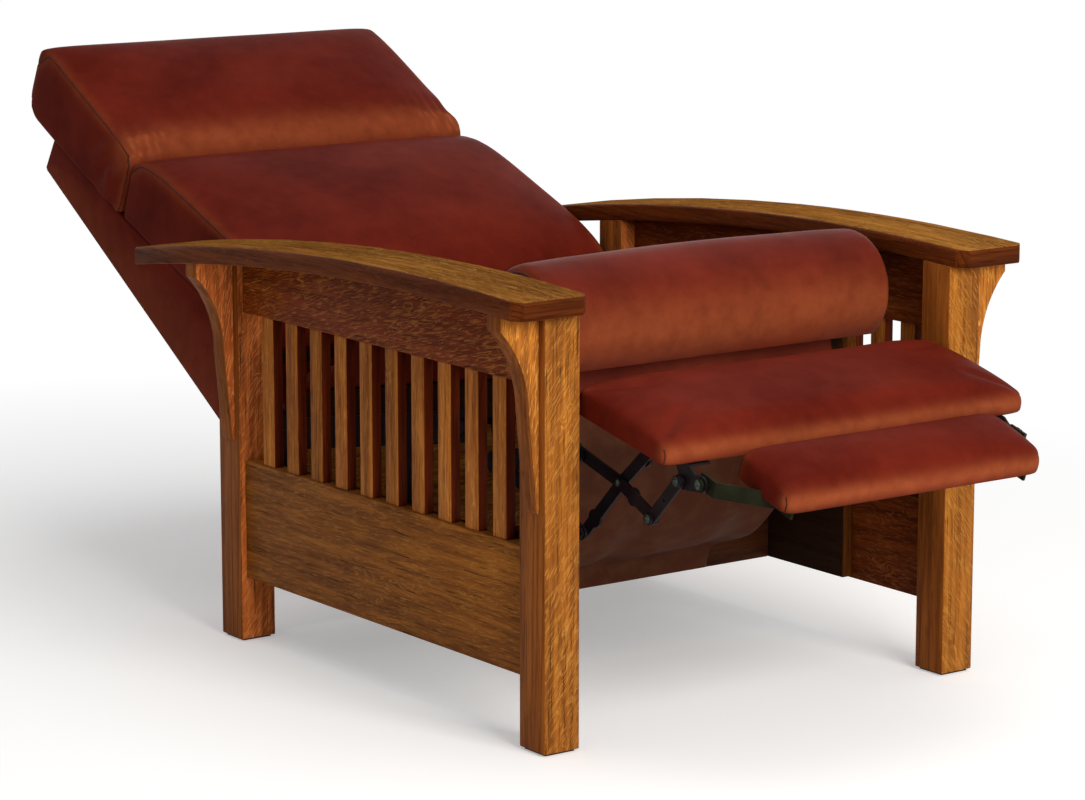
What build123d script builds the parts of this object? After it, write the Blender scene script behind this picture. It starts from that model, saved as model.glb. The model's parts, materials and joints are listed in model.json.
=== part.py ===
from build123d import *
from math import atan2, cos, degrees, hypot, radians, sin, sqrt
import os

os.makedirs("parts", exist_ok=True)

# Mission reclining armchair, shown as it stands fully reclined with the footrest out.
# X runs across the chair, +Y runs from the footrest to the back, +Z is up.
# The origin lies on the floor under the middle of the reclined chair.
# Left and right are those of the person sitting in it, so the right side is at -X.
# Inside this file a place on a side view is (setback, height): the setback is counted
# from the front faces of the front posts, and the height from the floor.
# All lengths are in millimetres and all angles in degrees.

# Oak frame
chair_width = 762.0
chair_depth = 818.0
post_width = 57.15
glide_height = 3.0
glide_inset = 5.0
overrun = 40.0

arm_width = 122.0
arm_thickness = 26.0
arm_peak_height = 627.0
arm_peak_setback = 255.0
arm_radius = 4700.0
arm_front_overhang = 26.0
arm_rear_overhang = 128.0
arm_corner = 14.0
arm_ease = 2.5

rail_thickness = 22.0
rail_inset = 9.0
side_rail_bottom = 97.0
side_rail_width = 177.5
arch_rail_drop = 132.0
tenon_length = 25.0
tenon_thickness = 12.0
tenon_shoulder = 12.0

slat_count = 10
slat_width = 31.5
slat_thickness = 15.5
slat_end_gap = 46.3

corbel_thickness = 30.0
corbel_setback = 13.0
corbel_reach = 61.0
corbel_lip = 20.0
corbel_waist = 16.0
corbel_waist_drop = 132.0
corbel_tip = 7.0
corbel_length = 268.0

side_board_thickness = 19.0
side_board_setback = 228.0
side_board_bottom = 100.0
side_board_width = 170.0
cross_rail_width = 77.0
cross_rail_thickness = 19.0
rear_rail_thickness = 18.0
rear_rail_inset = 1.0

# Steel recliner mechanism: sizes that its plates share
plate_thickness = 4.0
plate_gap = 1.0
running_clearance = 0.08
side_clearance = 0.3
pin_radius = 4.0
pin_sides = 12
nut_radius = 8.5
nut_height = 4.5
nut_sides = 6
rivet_head_radius = 7.0
rivet_head_height = 2.5
screw_hole_radius = 2.6

# Base rails that stand on the two cross rails and carry the seat
base_rail_gap = 9.0
base_rail_height = 38.0
base_rail_front_overhang = 15.0
base_flange_width = 24.0
base_ear_width = 36.0
base_ear_lead = 29.0
seat_pivot_inset = 83.0
seat_pivot_height = 300.0
lift_ear_foot_shift = 22.0
spacer_radius = 8.0

# Seat, drawn level and then sloped about its rear pivot
seat_slope = 10.5
seat_rail_gap = 8.0
seat_rail_thickness = 22.0
seat_rail_bottom = 20.0
seat_rail_width = 50.0
seat_rail_length = 552.0
seat_rear_rail_reach = 5.0
seat_rear_rail_bottom = -15.0
side_plate_width = 46.0
side_plate_rise = 10.0
side_plate_margin = 18.0
side_plate_arm_width = 34.0
lift_slot_reach = 452.0
lift_slot_travel = 20.0
lift_slot_offset = 6.0
lift_slot_clearance = 0.8
lift_arm_gap = 3.0
lift_arm_width = 22.0
lift_arm_length = 104.7
lift_arm_angle = 17.9
webbing_width = 50.0
webbing_thickness = 1.6
webbing_count = 5
webbing_margin = 60.0

# Seat cushion, in reach forward of the rear pivot and rise above it
cushion_overhang = 5.0
cushion_bottom = 70.4
roll_lead = 48.0
roll_rise = 142.0
roll_radius = 82.0
roll_crest_angle = 50.0
deck_front_inset = 40.0
deck_front_rise = 188.0
deck_crown_share = 0.475
deck_crown_rise = 197.0
deck_rear_reach = 146.0
deck_rear_rise = 184.0
deck_heel_reach = 119.0
deck_heel_rise = 140.0
tail_front_reach = 112.0
tail_rise = 103.0
tail_rear_reach = 29.0
cushion_end_draw = 9.0
cushion_crown = 5.0

# Scissor linkage of the footrest, which hangs under the front of the seat
nose_pivot_lead = 120.6
nose_pivot_drop = 33.3
nose_bracket_width = 30.0
nose_riser_inset = 25.0
nose_riser_width = 45.0
nose_riser_top = 60.0
tube_inset = 76.7
tube_drop = 43.65
tube_radius = 11.0
tube_wall = 2.0
crank_width = 20.0
link_width = 17.0
link_bulge_radius = 12.5

# Link lengths, and their directions as degrees above straight forward
long_link_rear = 92.69
long_link_rear_angle = -16.23
long_link_front = 81.89
long_link_front_angle = -26.0
cross_link_upper = 58.13
cross_link_upper_angle = 40.95
cross_link_lower = 118.3
cross_link_lower_angle = 45.17
cross_link_tail = 13.0
front_link_length = 84.08
front_link_angle = 45.53
ear_link_length = 40.15
ear_link_angle = 2.86
long_bulge_share = 0.42
cross_bulge_share = 0.72

# Footrest and flipper, whose pads lean down away from the seat
footrest_angle = 12.0
footrest_overhang = 1.0
footrest_length = 203.0
footrest_side_height = 30.0
footrest_crown = 10.0
footrest_rear_gap = 103.2
footrest_bracket_drop = 30.9
board_inset = 14.0
board_thickness = 11.0
board_clearance = 0.3
bracket_flange_width = 36.0
bracket_flange_thickness = 3.0
bracket_ear_width = 22.0
flipper_angle = 17.5
flipper_narrowing = 91.0
flipper_length = 113.0
flipper_side_height = 30.0
flipper_crown = 8.0
flipper_setin = 2.0
flipper_pivot_drop = 2.9
lever_depth = 22.0
lever_under_axle = 9.0
lever_straight = 22.0
lever_end_reach = 70.0
lever_length = 100.0
lever_side_gap = 4.0
lever_tuck = 13.0
lever_tab_width = 40.0
foot_pad_corner = 9.0
foot_pad_draw = 5.0
pad_waist = 4.0

# Back, in distance up from its lower end and out from its rear face
back_angle = 32.0
back_pivot_reach = -58.4
back_pivot_rise = 41.3
back_pivot_below = 51.0
back_pivot_out = 95.0
back_overhang = 9.0
back_side_thickness = 22.0
back_lower_depth = 168.0
back_middle_height = 440.0
back_upper_height = 231.0
back_middle_depth = 85.0
back_top_depth = 60.0
back_panel_thickness = 6.0
back_rail_width = 50.0
back_rail_depth = 24.0
back_middle_rail_height = 300.0
back_bracket_width = 34.0
back_bracket_height = 130.0
back_pad_gap = 5.8
back_pad_side = 96.0
back_pad_crown = 34.0
back_pad_corner = 30.0
pillow_length = 340.0
pillow_side = 104.0
pillow_crown = 30.0
pillow_foot_corner = 26.0
pillow_head_corner = 46.0
back_cushion_draw = 12.0
soft_gap = 0.4

# Drop apron under the seat, hung from the front seat rail to the front cross rail
apron_narrowing = 68.0
apron_thickness = 1.6
apron_top_inset = 6.0
apron_fold_depth = 5.0
apron_fold_count = 2

sides = {"left": 1, "right": -1}

# Values worked out from the sizes above
post_outer = chair_width / 2
post_inner = post_outer - post_width
rear_post_setback = chair_depth - post_width
rail_outer = post_outer - rail_inset
rail_inner = rail_outer - rail_thickness
side_rail_top = side_rail_bottom + side_rail_width
arch_rail_bottom = arm_peak_height - arch_rail_drop
slat_run = rear_post_setback - post_width - 2 * slat_end_gap - slat_width
slat_pitch = slat_run / (slat_count - 1)
side_board_inner = rail_inner - side_board_thickness
cross_rail_top = side_board_bottom + cross_rail_width
base_rail_top = cross_rail_top + base_rail_height

# The layers of the seat and its mechanism, counted inward from the side boards
base_rail_outer = side_board_inner - base_rail_gap
base_rail_inner = base_rail_outer - plate_thickness
lift_arm_outer = base_rail_inner - lift_arm_gap
lift_arm_inner = lift_arm_outer - plate_thickness
seat_rail_outer = lift_arm_inner - seat_rail_gap
seat_rail_inner = seat_rail_outer - seat_rail_thickness
side_plate_inner = seat_rail_outer
side_plate_outer = side_plate_inner + plate_thickness
link_plane = seat_rail_inner
cushion_half_width = seat_rail_outer + cushion_overhang
footrest_half_width = seat_rail_outer + footrest_overhang
flipper_half_width = footrest_half_width - flipper_narrowing
back_half_width = seat_rail_outer + back_overhang
back_side_inner = back_half_width - back_side_thickness
apron_half_width = link_plane - apron_narrowing
webbing_pitch = 2 * (seat_rail_inner - webbing_margin - webbing_width / 2) / (webbing_count - 1)

# Places along the seat, as reaches forward of its rear pivot
seat_pivot_setback = chair_depth - seat_pivot_inset
seat_rail_top = seat_rail_bottom + seat_rail_width
front_rail_reach = seat_rail_length - seat_rail_thickness
side_plate_length = lift_slot_reach + side_plate_margin
nose_pivot_reach = seat_rail_length + nose_pivot_lead
nose_riser_front = seat_rail_length - nose_riser_inset
nose_riser_rear = nose_riser_front - nose_riser_width
tube_reach = seat_rail_length - tube_inset
roll_reach = seat_rail_length + roll_lead
deck_front_reach = seat_rail_length - deck_front_inset
deck_crown_reach = deck_rear_reach + (deck_front_reach - deck_rear_reach) * deck_crown_share

# The back's side height, and the length of the cushion along its lower front edge
back_side_height = back_middle_height + back_upper_height
back_edge_length = hypot(back_middle_height, back_lower_depth - back_middle_depth)
back_pad_length = back_edge_length - back_pad_gap

# Four neighbouring plates of the scissor linkage, counted inward from the seat rail
plate_pitch = plate_thickness + plate_gap
outer_plate = (link_plane - plate_thickness, link_plane)
second_plate = (outer_plate[0] - plate_pitch, outer_plate[1] - plate_pitch)
third_plate = (second_plate[0] - plate_pitch, second_plate[1] - plate_pitch)
inner_plate = (third_plate[0] - plate_pitch, third_plate[1] - plate_pitch)


def forward(start, length, rise):
    """The place that lies a length ahead of start, at a rise above straight forward."""
    setback, height = start
    return (setback - length * cos(radians(rise)), height + length * sin(radians(rise)))


def seat(reach, rise):
    """A place on the sloped seat, from its reach and rise about the rear pivot."""
    tilt = radians(seat_slope)
    setback = seat_pivot_setback - reach * cos(tilt) + rise * sin(tilt)
    height = seat_pivot_height + reach * sin(tilt) + rise * cos(tilt)
    return (setback, height)


back_pivot = seat(back_pivot_reach, back_pivot_rise)


def back(up, out):
    """A place on the reclined back, from its distance up and out of the rear face."""
    tilt = radians(back_angle)
    along = up + back_pivot_below
    across = out - back_pivot_out
    setback = back_pivot[0] + along * cos(tilt) - across * sin(tilt)
    height = back_pivot[1] + along * sin(tilt) + across * cos(tilt)
    return (setback, height)


def leaning(start, lean, along, above):
    """A place along and above a line that leans up towards the rear from start."""
    tilt = radians(lean)
    setback = start[0] + along * cos(tilt) - above * sin(tilt)
    height = start[1] + along * sin(tilt) + above * cos(tilt)
    return (setback, height)


# Pivots of the scissor linkage
nose_pivot = seat(nose_pivot_reach, -nose_pivot_drop)
tube_pivot = seat(tube_reach, -tube_drop)
cross_pivot = forward(nose_pivot, long_link_rear, long_link_rear_angle)
knee_pivot = forward(cross_pivot, long_link_front, long_link_front_angle)
bracket_pivot = forward(cross_pivot, cross_link_upper, cross_link_upper_angle)
crank_pivot = forward(cross_pivot, -cross_link_lower, cross_link_lower_angle)
ear_pivot = forward(knee_pivot, front_link_length, front_link_angle)
flipper_pivot = forward(ear_pivot, ear_link_length, ear_link_angle)
seat_pivot = (seat_pivot_setback, seat_pivot_height)
lift_roller = seat(lift_slot_reach, side_plate_rise)
lift_pivot = forward(lift_roller, -lift_arm_length, lift_arm_angle)
lift_ear_foot = lift_pivot[0] + lift_ear_foot_shift
base_front = lift_ear_foot - base_ear_lead
front_cross_rail_setback = base_front + base_rail_front_overhang

# Lower front corners of the two footrest pads
footrest_start = leaning(bracket_pivot, footrest_angle, footrest_rear_gap - footrest_length,
                         footrest_bracket_drop)
flipper_start = leaning(flipper_pivot, flipper_angle, flipper_setin - flipper_length,
                        flipper_pivot_drop)

# Where the back cushion and the head pillow start on the front edges of the back
back_pad_start = back(0, back_lower_depth + soft_gap)
back_pad_lean = back_angle - degrees(atan2(back_lower_depth - back_middle_depth,
                                           back_middle_height))
pillow_start = back(back_middle_height + soft_gap, back_middle_depth + soft_gap)
pillow_lean = back_angle - degrees(atan2(back_middle_depth - back_top_depth,
                                         back_side_height - back_middle_height))

# The flipper's tip and the pillow's top are the ends of the reclined chair, and half
# way between them is the origin
front_reach = leaning(flipper_start, flipper_angle, 0, flipper_side_height)[0]
rear_reach = leaning(pillow_start, pillow_lean, pillow_length, pillow_side / 2)[0]
front_y = -(front_reach + rear_reach) / 2


def side_plane(x):
    """The plane of a side view at x, on which a point is (setback, height)."""
    return Plane(origin=(x, front_y, 0), x_dir=(0, 1, 0), z_dir=(1, 0, 0))


def slab(side, inner, outer):
    """The side view plane at the lower x of a layer from inner to outer on one side."""
    return side_plane(min(side * inner, side * outer))


def level(height):
    """The plan view plane at a height, on which a point is (x, setback)."""
    return Plane(origin=(0, front_y, height), x_dir=(1, 0, 0), z_dir=(0, 0, 1))


def layer(start, lean, above):
    """The plane at a distance above a leaning line, whose y runs along that line."""
    setback, height = leaning(start, lean, 0, above)
    normal = (0, -sin(radians(lean)), cos(radians(lean)))
    return Plane(origin=(0, front_y + setback, height), x_dir=(1, 0, 0), z_dir=normal)


def arm_underside(setback):
    """The height of the arm's bowed underside."""
    inner_radius = arm_radius - arm_thickness
    rise = sqrt(inner_radius ** 2 - (setback - arm_peak_setback) ** 2)
    return arm_peak_height - arm_radius + rise


def arm_top(setback):
    """The height of the arm's bowed top."""
    rise = sqrt(arm_radius ** 2 - (setback - arm_peak_setback) ** 2)
    return arm_peak_height - arm_radius + rise


def outline(*points):
    """A face in the current sketch with straight sides between the points."""
    with BuildLine() as border:
        Polyline(*points, close=True)
    make_face(border.line)


def block(side, inner, outer, near, far, bottom, top, mode=Mode.ADD):
    """A square block in the current part, given by its limits on one side."""
    with BuildSketch(slab(side, inner, outer)) as profile:
        outline((near, bottom), (far, bottom), (far, top), (near, top))
    extrude(profile.sketch, amount=outer - inner, mode=mode)


def cut_to_arm(side, inner, outer, near, far):
    """Trim the current part to the bowed underside of the arm."""
    low, high = near - overrun, far + overrun
    middle = (low + high) / 2
    sky = arm_peak_height + overrun
    with BuildSketch(slab(side, inner - overrun, outer + overrun)) as profile:
        with BuildLine():
            ThreePointArc((low, arm_underside(low)), (middle, arm_underside(middle)),
                          (high, arm_underside(high)))
            Polyline((high, arm_underside(high)), (high, sky), (low, sky),
                     (low, arm_underside(low)))
        make_face()
    extrude(profile.sketch, amount=outer - inner + 2 * overrun, mode=Mode.SUBTRACT)


def strap(start, end, width):
    """A round-ended bar between two places, in the current side view sketch."""
    run = (end[0] - start[0], end[1] - start[1])
    middle = (start[0] + run[0] / 2, start[1] + run[1] / 2)
    with Locations(middle):
        SlotCenterToCenter(hypot(*run), width, rotation=degrees(atan2(run[1], run[0])))


def bores(*places):
    """Holes for the pins in the current side view sketch, as many-sided as the pins."""
    with Locations(*places):
        RegularPolygon(pin_radius + running_clearance, pin_sides, major_radius=False,
                       mode=Mode.SUBTRACT)


def screw_hole(place):
    """A small open hole in the current side view sketch."""
    with Locations(place):
        RegularPolygon(screw_hole_radius, pin_sides, mode=Mode.SUBTRACT)


def peg(side, place, radius, inner, outer):
    """A pin across the chair, added to the current part, many-sided to stay light."""
    with BuildSketch(slab(side, inner, outer)) as profile:
        with Locations(place):
            RegularPolygon(radius, pin_sides)
    extrude(profile.sketch, amount=outer - inner)


def nut(side, place, inner):
    """A hexagon nut on the outer face of a plate, added to the current part."""
    with BuildSketch(slab(side, inner, inner + nut_height)) as profile:
        with Locations(place):
            RegularPolygon(nut_radius, nut_sides)
    extrude(profile.sketch, amount=nut_height)


def keep(piece, name):
    """Label a finished piece and write it under its own name."""
    piece.part.label = name
    export_step(piece.part, f"parts/{name}.step")


# Posts: square oak posts, mortised for the rails and cut to the bow of the arm
rail_middle = (rail_inner + rail_outer) / 2
tenon_inner = rail_middle - tenon_thickness / 2
tenon_outer = rail_middle + tenon_thickness / 2
tenon_top = arm_underside(chair_depth) - tenon_shoulder
tenon_levels = (
    (side_rail_bottom + tenon_shoulder, side_rail_top - tenon_shoulder),
    (arch_rail_bottom + tenon_shoulder, tenon_top),
)
post_places = {
    "front": (0, post_width - tenon_length, post_width),
    "rear": (rear_post_setback, rear_post_setback, rear_post_setback + tenon_length),
}

for end, (post_setback, mortise_near, mortise_far) in post_places.items():
    for name, side in sides.items():
        with BuildPart() as post:
            block(side, post_inner, post_outer, post_setback, post_setback + post_width,
                  glide_height, arm_peak_height)
            cut_to_arm(side, post_inner, post_outer, post_setback, post_setback + post_width)
            for bottom, top in tenon_levels:
                block(side, tenon_inner, tenon_outer, mortise_near, mortise_far, bottom, top,
                      mode=Mode.SUBTRACT)
        keep(post, f"post_{end}_{name}")

# Corbels: shaped brackets on the outer faces of the posts, under the arms
for end, (post_setback, _, _) in post_places.items():
    corbel_near = post_setback + corbel_setback
    corbel_far = corbel_near + corbel_thickness
    corbel_top = arm_underside(corbel_near + corbel_thickness / 2)
    for name, side in sides.items():
        start = side * post_outer
        with BuildPart() as corbel:
            with BuildSketch(Plane(origin=(start, front_y + corbel_far, corbel_top),
                                   x_dir=(side, 0, 0), z_dir=(0, -side, 0))):
                with BuildLine():
                    Polyline((0, corbel_tip - corbel_length), (0, overrun),
                             (corbel_reach, overrun), (corbel_reach, -corbel_lip))
                    TangentArc((corbel_waist, -corbel_waist_drop),
                               (corbel_reach, -corbel_lip), tangent=(0, 1))
                    Line((corbel_waist, -corbel_waist_drop),
                         (corbel_waist, corbel_tip - corbel_length))
                    ThreePointArc((corbel_waist, corbel_tip - corbel_length),
                                  (corbel_waist / 2, -corbel_length),
                                  (0, corbel_tip - corbel_length))
                make_face()
            extrude(amount=side * corbel_thickness)
            cut_to_arm(side, post_outer, post_outer + corbel_reach, corbel_near, corbel_far)
        keep(corbel, f"corbel_{end}_{name}")

# Arms: bent boards that rest on the posts and the arched rails
arm_front = -arm_front_overhang
arm_rear = chair_depth + arm_rear_overhang
arm_middle = (arm_front + arm_rear) / 2

for name, side in sides.items():
    with BuildPart() as arm:
        with BuildSketch(slab(side, post_inner, post_inner + arm_width)):
            with BuildLine():
                ThreePointArc((arm_front, arm_top(arm_front)),
                              (arm_middle, arm_top(arm_middle)),
                              (arm_rear, arm_top(arm_rear)))
                Line((arm_rear, arm_top(arm_rear)), (arm_rear, arm_underside(arm_rear)))
                ThreePointArc((arm_rear, arm_underside(arm_rear)),
                              (arm_middle, arm_underside(arm_middle)),
                              (arm_front, arm_underside(arm_front)))
                Line((arm_front, arm_underside(arm_front)), (arm_front, arm_top(arm_front)))
            make_face()
        extrude(amount=arm_width)
        chamfer(arm.edges().filter_by(Axis.Z).group_by(Axis.Y)[0], length=arm_corner)
        top_edges = arm.faces().sort_by(Axis.Z)[-1].edges().sort_by(SortBy.LENGTH)
        chamfer(top_edges[-2:], length=arm_ease)
    keep(arm, f"arm_{name}")

# Side rails: a wide lower rail and an arched upper rail, tenoned into the posts
for name, side in sides.items():
    with BuildPart() as side_rail:
        block(side, rail_inner, rail_outer, post_width, rear_post_setback,
              side_rail_bottom, side_rail_top)
        block(side, tenon_inner, tenon_outer, post_width - tenon_length,
              rear_post_setback + tenon_length, *tenon_levels[0])
    keep(side_rail, f"side_rail_{name}")

    with BuildPart() as arch_rail:
        block(side, rail_inner, rail_outer, post_width, rear_post_setback,
              arch_rail_bottom, arm_peak_height)
        cut_to_arm(side, rail_inner, rail_outer, post_width, rear_post_setback)
        block(side, tenon_inner, tenon_outer, post_width - tenon_length,
              rear_post_setback + tenon_length, *tenon_levels[1])
    keep(arch_rail, f"arch_rail_{name}")

    with BuildPart() as slats:
        with BuildSketch(level(side_rail_top)):
            with Locations((side * rail_middle, chair_depth / 2)):
                with GridLocations(slat_thickness, slat_pitch, 1, slat_count):
                    Rectangle(slat_thickness, slat_width)
        extrude(amount=arch_rail_bottom - side_rail_top)
    keep(slats, f"slats_{name}")

    with BuildPart() as side_board:
        block(side, side_board_inner, rail_inner, side_board_setback, rear_post_setback,
              side_board_bottom, side_board_bottom + side_board_width)
    keep(side_board, f"side_board_{name}")

# Felt glides under the four posts
with BuildPart() as felt_glides:
    with BuildSketch(level(0)):
        with Locations((0, chair_depth / 2)):
            with GridLocations(chair_width - post_width, chair_depth - post_width, 2, 2):
                Rectangle(post_width - 2 * glide_inset, post_width - 2 * glide_inset)
    extrude(amount=glide_height)
keep(felt_glides, "felt_glides")

# Cross rails between the two sides, which carry the mechanism. The rear one is a ledge on
# a wide board that closes the back of the base
rear_rail_setback = chair_depth - rear_rail_inset - rear_rail_thickness
rear_cross_rail_setback = rear_rail_setback - cross_rail_thickness

with BuildPart() as cross_rail_front:
    block(1, -side_board_inner, side_board_inner, front_cross_rail_setback,
          front_cross_rail_setback + cross_rail_thickness, side_board_bottom, cross_rail_top)
keep(cross_rail_front, "cross_rail_front")

with BuildPart() as cross_rail_rear:
    block(1, -post_inner, post_inner, rear_cross_rail_setback, rear_rail_setback,
          side_board_bottom, cross_rail_top)
    block(1, -post_inner, post_inner, rear_rail_setback, rear_rail_setback + rear_rail_thickness,
          side_rail_bottom, side_rail_top)
keep(cross_rail_rear, "cross_rail_rear")

# Base rails: steel angles with a rear ear for the seat and a front ear for the lift arm
base_rear = rear_cross_rail_setback + cross_rail_thickness
base_middle_height = cross_rail_top + base_rail_height / 2

for name, side in sides.items():
    with BuildPart() as base_rail:
        with BuildSketch(slab(side, base_rail_inner, base_rail_outer)):
            outline((base_front, cross_rail_top), (base_rear, cross_rail_top),
                    (base_rear, base_rail_top), (base_front, base_rail_top))
            strap((seat_pivot_setback, base_middle_height), seat_pivot, base_ear_width)
            strap((lift_ear_foot, base_middle_height), lift_pivot, base_ear_width)
        extrude(amount=plate_thickness)
        block(side, base_rail_outer - base_flange_width, base_rail_inner, base_front,
              base_rear, cross_rail_top, cross_rail_top + plate_thickness)
        peg(side, seat_pivot, spacer_radius, side_plate_outer + side_clearance,
            base_rail_inner)
        peg(side, seat_pivot, pin_radius, side_plate_inner + side_clearance,
            side_plate_outer + side_clearance)
        peg(side, lift_pivot, spacer_radius, lift_arm_outer + side_clearance, base_rail_inner)
        peg(side, lift_pivot, pin_radius, lift_arm_inner, lift_arm_outer + side_clearance)
    keep(base_rail, f"base_rail_{name}")

# Lift arms that raise the front of the seat as it reclines
for name, side in sides.items():
    with BuildPart() as lift_arm:
        with BuildSketch(slab(side, lift_arm_inner, lift_arm_outer)):
            strap(lift_pivot, lift_roller, lift_arm_width)
            bores(lift_pivot)
        extrude(amount=plate_thickness)
        peg(side, lift_roller, spacer_radius, side_plate_outer + side_clearance,
            lift_arm_inner)
        peg(side, lift_roller, pin_radius, side_plate_inner + side_clearance,
            side_plate_outer + side_clearance)
    keep(lift_arm, f"lift_arm_{name}")

# Seat frame: two long rails and two cross rails of wood, webbed across the top
for name, side in sides.items():
    with BuildPart() as seat_rail:
        with BuildSketch(slab(side, seat_rail_inner, seat_rail_outer)):
            outline(seat(0, seat_rail_bottom), seat(seat_rail_length, seat_rail_bottom),
                    seat(seat_rail_length, seat_rail_top), seat(0, seat_rail_top))
        extrude(amount=seat_rail_thickness)
    keep(seat_rail, f"seat_rail_{name}")

seat_cross_rails = {
    "front": (front_rail_reach, seat_rail_bottom),
    "rear": (seat_rear_rail_reach, seat_rear_rail_bottom),
}

for name, (reach, bottom) in seat_cross_rails.items():
    with BuildPart() as seat_rail:
        with BuildSketch(side_plane(-seat_rail_inner)):
            outline(seat(reach, bottom), seat(reach + seat_rail_thickness, bottom),
                    seat(reach + seat_rail_thickness, seat_rail_top - webbing_thickness),
                    seat(reach, seat_rail_top - webbing_thickness))
        extrude(amount=2 * seat_rail_inner)
    keep(seat_rail, f"seat_rail_{name}")

with BuildPart() as seat_webbing:
    for index in range(webbing_count):
        middle = (index - (webbing_count - 1) / 2) * webbing_pitch
        with BuildSketch(side_plane(middle - webbing_width / 2)):
            outline(seat(seat_rear_rail_reach, seat_rail_top - webbing_thickness),
                    seat(seat_rail_length, seat_rail_top - webbing_thickness),
                    seat(seat_rail_length, seat_rail_top),
                    seat(seat_rear_rail_reach, seat_rail_top))
        extrude(amount=webbing_width)
keep(seat_webbing, "seat_webbing")

# Side plates: they hang on the seat pivots, slide on the lift arms and carry the back
back_bracket_inner = back_side_inner - plate_thickness

for name, side in sides.items():
    with BuildPart() as side_plate:
        with BuildSketch(slab(side, side_plate_inner, side_plate_outer)):
            strap(seat(0, side_plate_rise), seat(side_plate_length, side_plate_rise),
                  side_plate_width)
            strap(seat(0, side_plate_rise), back_pivot, side_plate_arm_width)
            bores(seat_pivot)
            slot_middle = lift_slot_reach - lift_slot_offset
            with Locations(seat(slot_middle, side_plate_rise)):
                SlotCenterToCenter(lift_slot_travel, 2 * (pin_radius + lift_slot_clearance),
                                   rotation=-seat_slope, mode=Mode.SUBTRACT)
        extrude(amount=plate_thickness)
        peg(side, back_pivot, spacer_radius, back_side_inner + side_clearance,
            side_plate_inner)
        peg(side, back_pivot, pin_radius, back_bracket_inner,
            back_side_inner + side_clearance)
    keep(side_plate, f"side_plate_{name}")

# Nose brackets under the front of the seat, for the scissor linkage and its tube
for name, side in sides.items():
    with BuildPart() as nose_bracket:
        with BuildSketch(slab(side, *outer_plate)):
            strap(nose_pivot, tube_pivot, nose_bracket_width)
            outline(seat(nose_riser_rear, -tube_drop), seat(nose_riser_front, -tube_drop),
                    seat(nose_riser_front, nose_riser_top),
                    seat(nose_riser_rear, nose_riser_top))
            bores(nose_pivot, tube_pivot)
        extrude(amount=plate_thickness)
    keep(nose_bracket, f"nose_bracket_{name}")


# How a cushion swells from its ends to its middle: each row has its shares of the half
# width, of the draw at the ends and of the crown
swell_shares = (
    (1, 1, 0.04),
    (0.95, 0.15, 0.4),
    (0.66, 0, 0.82),
    (0, 0, 1),
)


def swell(half):
    """The sections of a cushion across the chair: their place, draw and crown shares."""
    rows = [(-share, draw, crown) for share, draw, crown in swell_shares]
    rows += [(share, draw, crown) for share, draw, crown in reversed(swell_shares[:-1])]
    return [(share * half, share, draw, crown) for share, draw, crown in rows]


def cushion_outline(draw, crown):
    """The side outline of the seat cushion, drawn in and crowned, in the current sketch."""
    radius = roll_radius - draw
    heel_drop = roll_rise - cushion_bottom
    heel = seat(roll_reach - sqrt(radius ** 2 - heel_drop ** 2), cushion_bottom)

    def on_roll(angle):
        turn = radians(angle)
        return seat(roll_reach - radius * cos(turn), roll_rise + radius * sin(turn))

    front = on_roll(180)
    crest = on_roll(roll_crest_angle)
    deck_front = seat(deck_front_reach, deck_front_rise - draw)
    deck_rear = seat(deck_rear_reach, deck_rear_rise - draw)
    with BuildLine() as border:
        Line(seat(tail_rear_reach + draw, cushion_bottom), heel)
        ThreePointArc(heel, on_roll(-135), front)
        ThreePointArc(front, on_roll(135), crest)
        Line(crest, deck_front)
        ThreePointArc(deck_front, seat(deck_crown_reach, deck_crown_rise + crown - draw),
                      deck_rear)
        Polyline(deck_rear, seat(deck_heel_reach + draw, deck_heel_rise - draw),
                 seat(tail_front_reach + draw, tail_rise - draw),
                 seat(tail_rear_reach + draw, tail_rise - draw),
                 seat(tail_rear_reach + draw, cushion_bottom))
    make_face(border.line)


# Seat cushion: a deep front roll, a crowned deck and a low tail under the back
with BuildPart() as seat_cushion:
    for place, _, draw_share, crown_share in swell(cushion_half_width):
        with BuildSketch(side_plane(place)):
            cushion_outline(cushion_end_draw * draw_share, cushion_crown * crown_share)
    loft(ruled=True)
keep(seat_cushion, "seat_cushion")

# Torque tube and cranks, which make both sides of the footrest open together
with BuildPart() as torque_tube:
    with BuildSketch(side_plane(-second_plate[0])):
        with Locations(tube_pivot):
            Circle(tube_radius)
            Circle(tube_radius - tube_wall, mode=Mode.SUBTRACT)
    extrude(amount=2 * second_plate[0])
keep(torque_tube, "torque_tube")

with BuildPart() as crank_arms:
    for side in sides.values():
        with BuildSketch(slab(side, *second_plate)):
            strap(tube_pivot, crank_pivot, crank_width)
        extrude(amount=plate_thickness)
        peg(side, tube_pivot, pin_radius, second_plate[1], outer_plate[1] + side_clearance)
        nut(side, tube_pivot, outer_plate[1] + side_clearance)
        nut(side, crank_pivot, second_plate[1])
keep(crank_arms, "crank_arms")


def between(start, end, share):
    """The place at a share of the way from start to end."""
    return (start[0] + (end[0] - start[0]) * share, start[1] + (end[1] - start[1]) * share)


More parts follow.
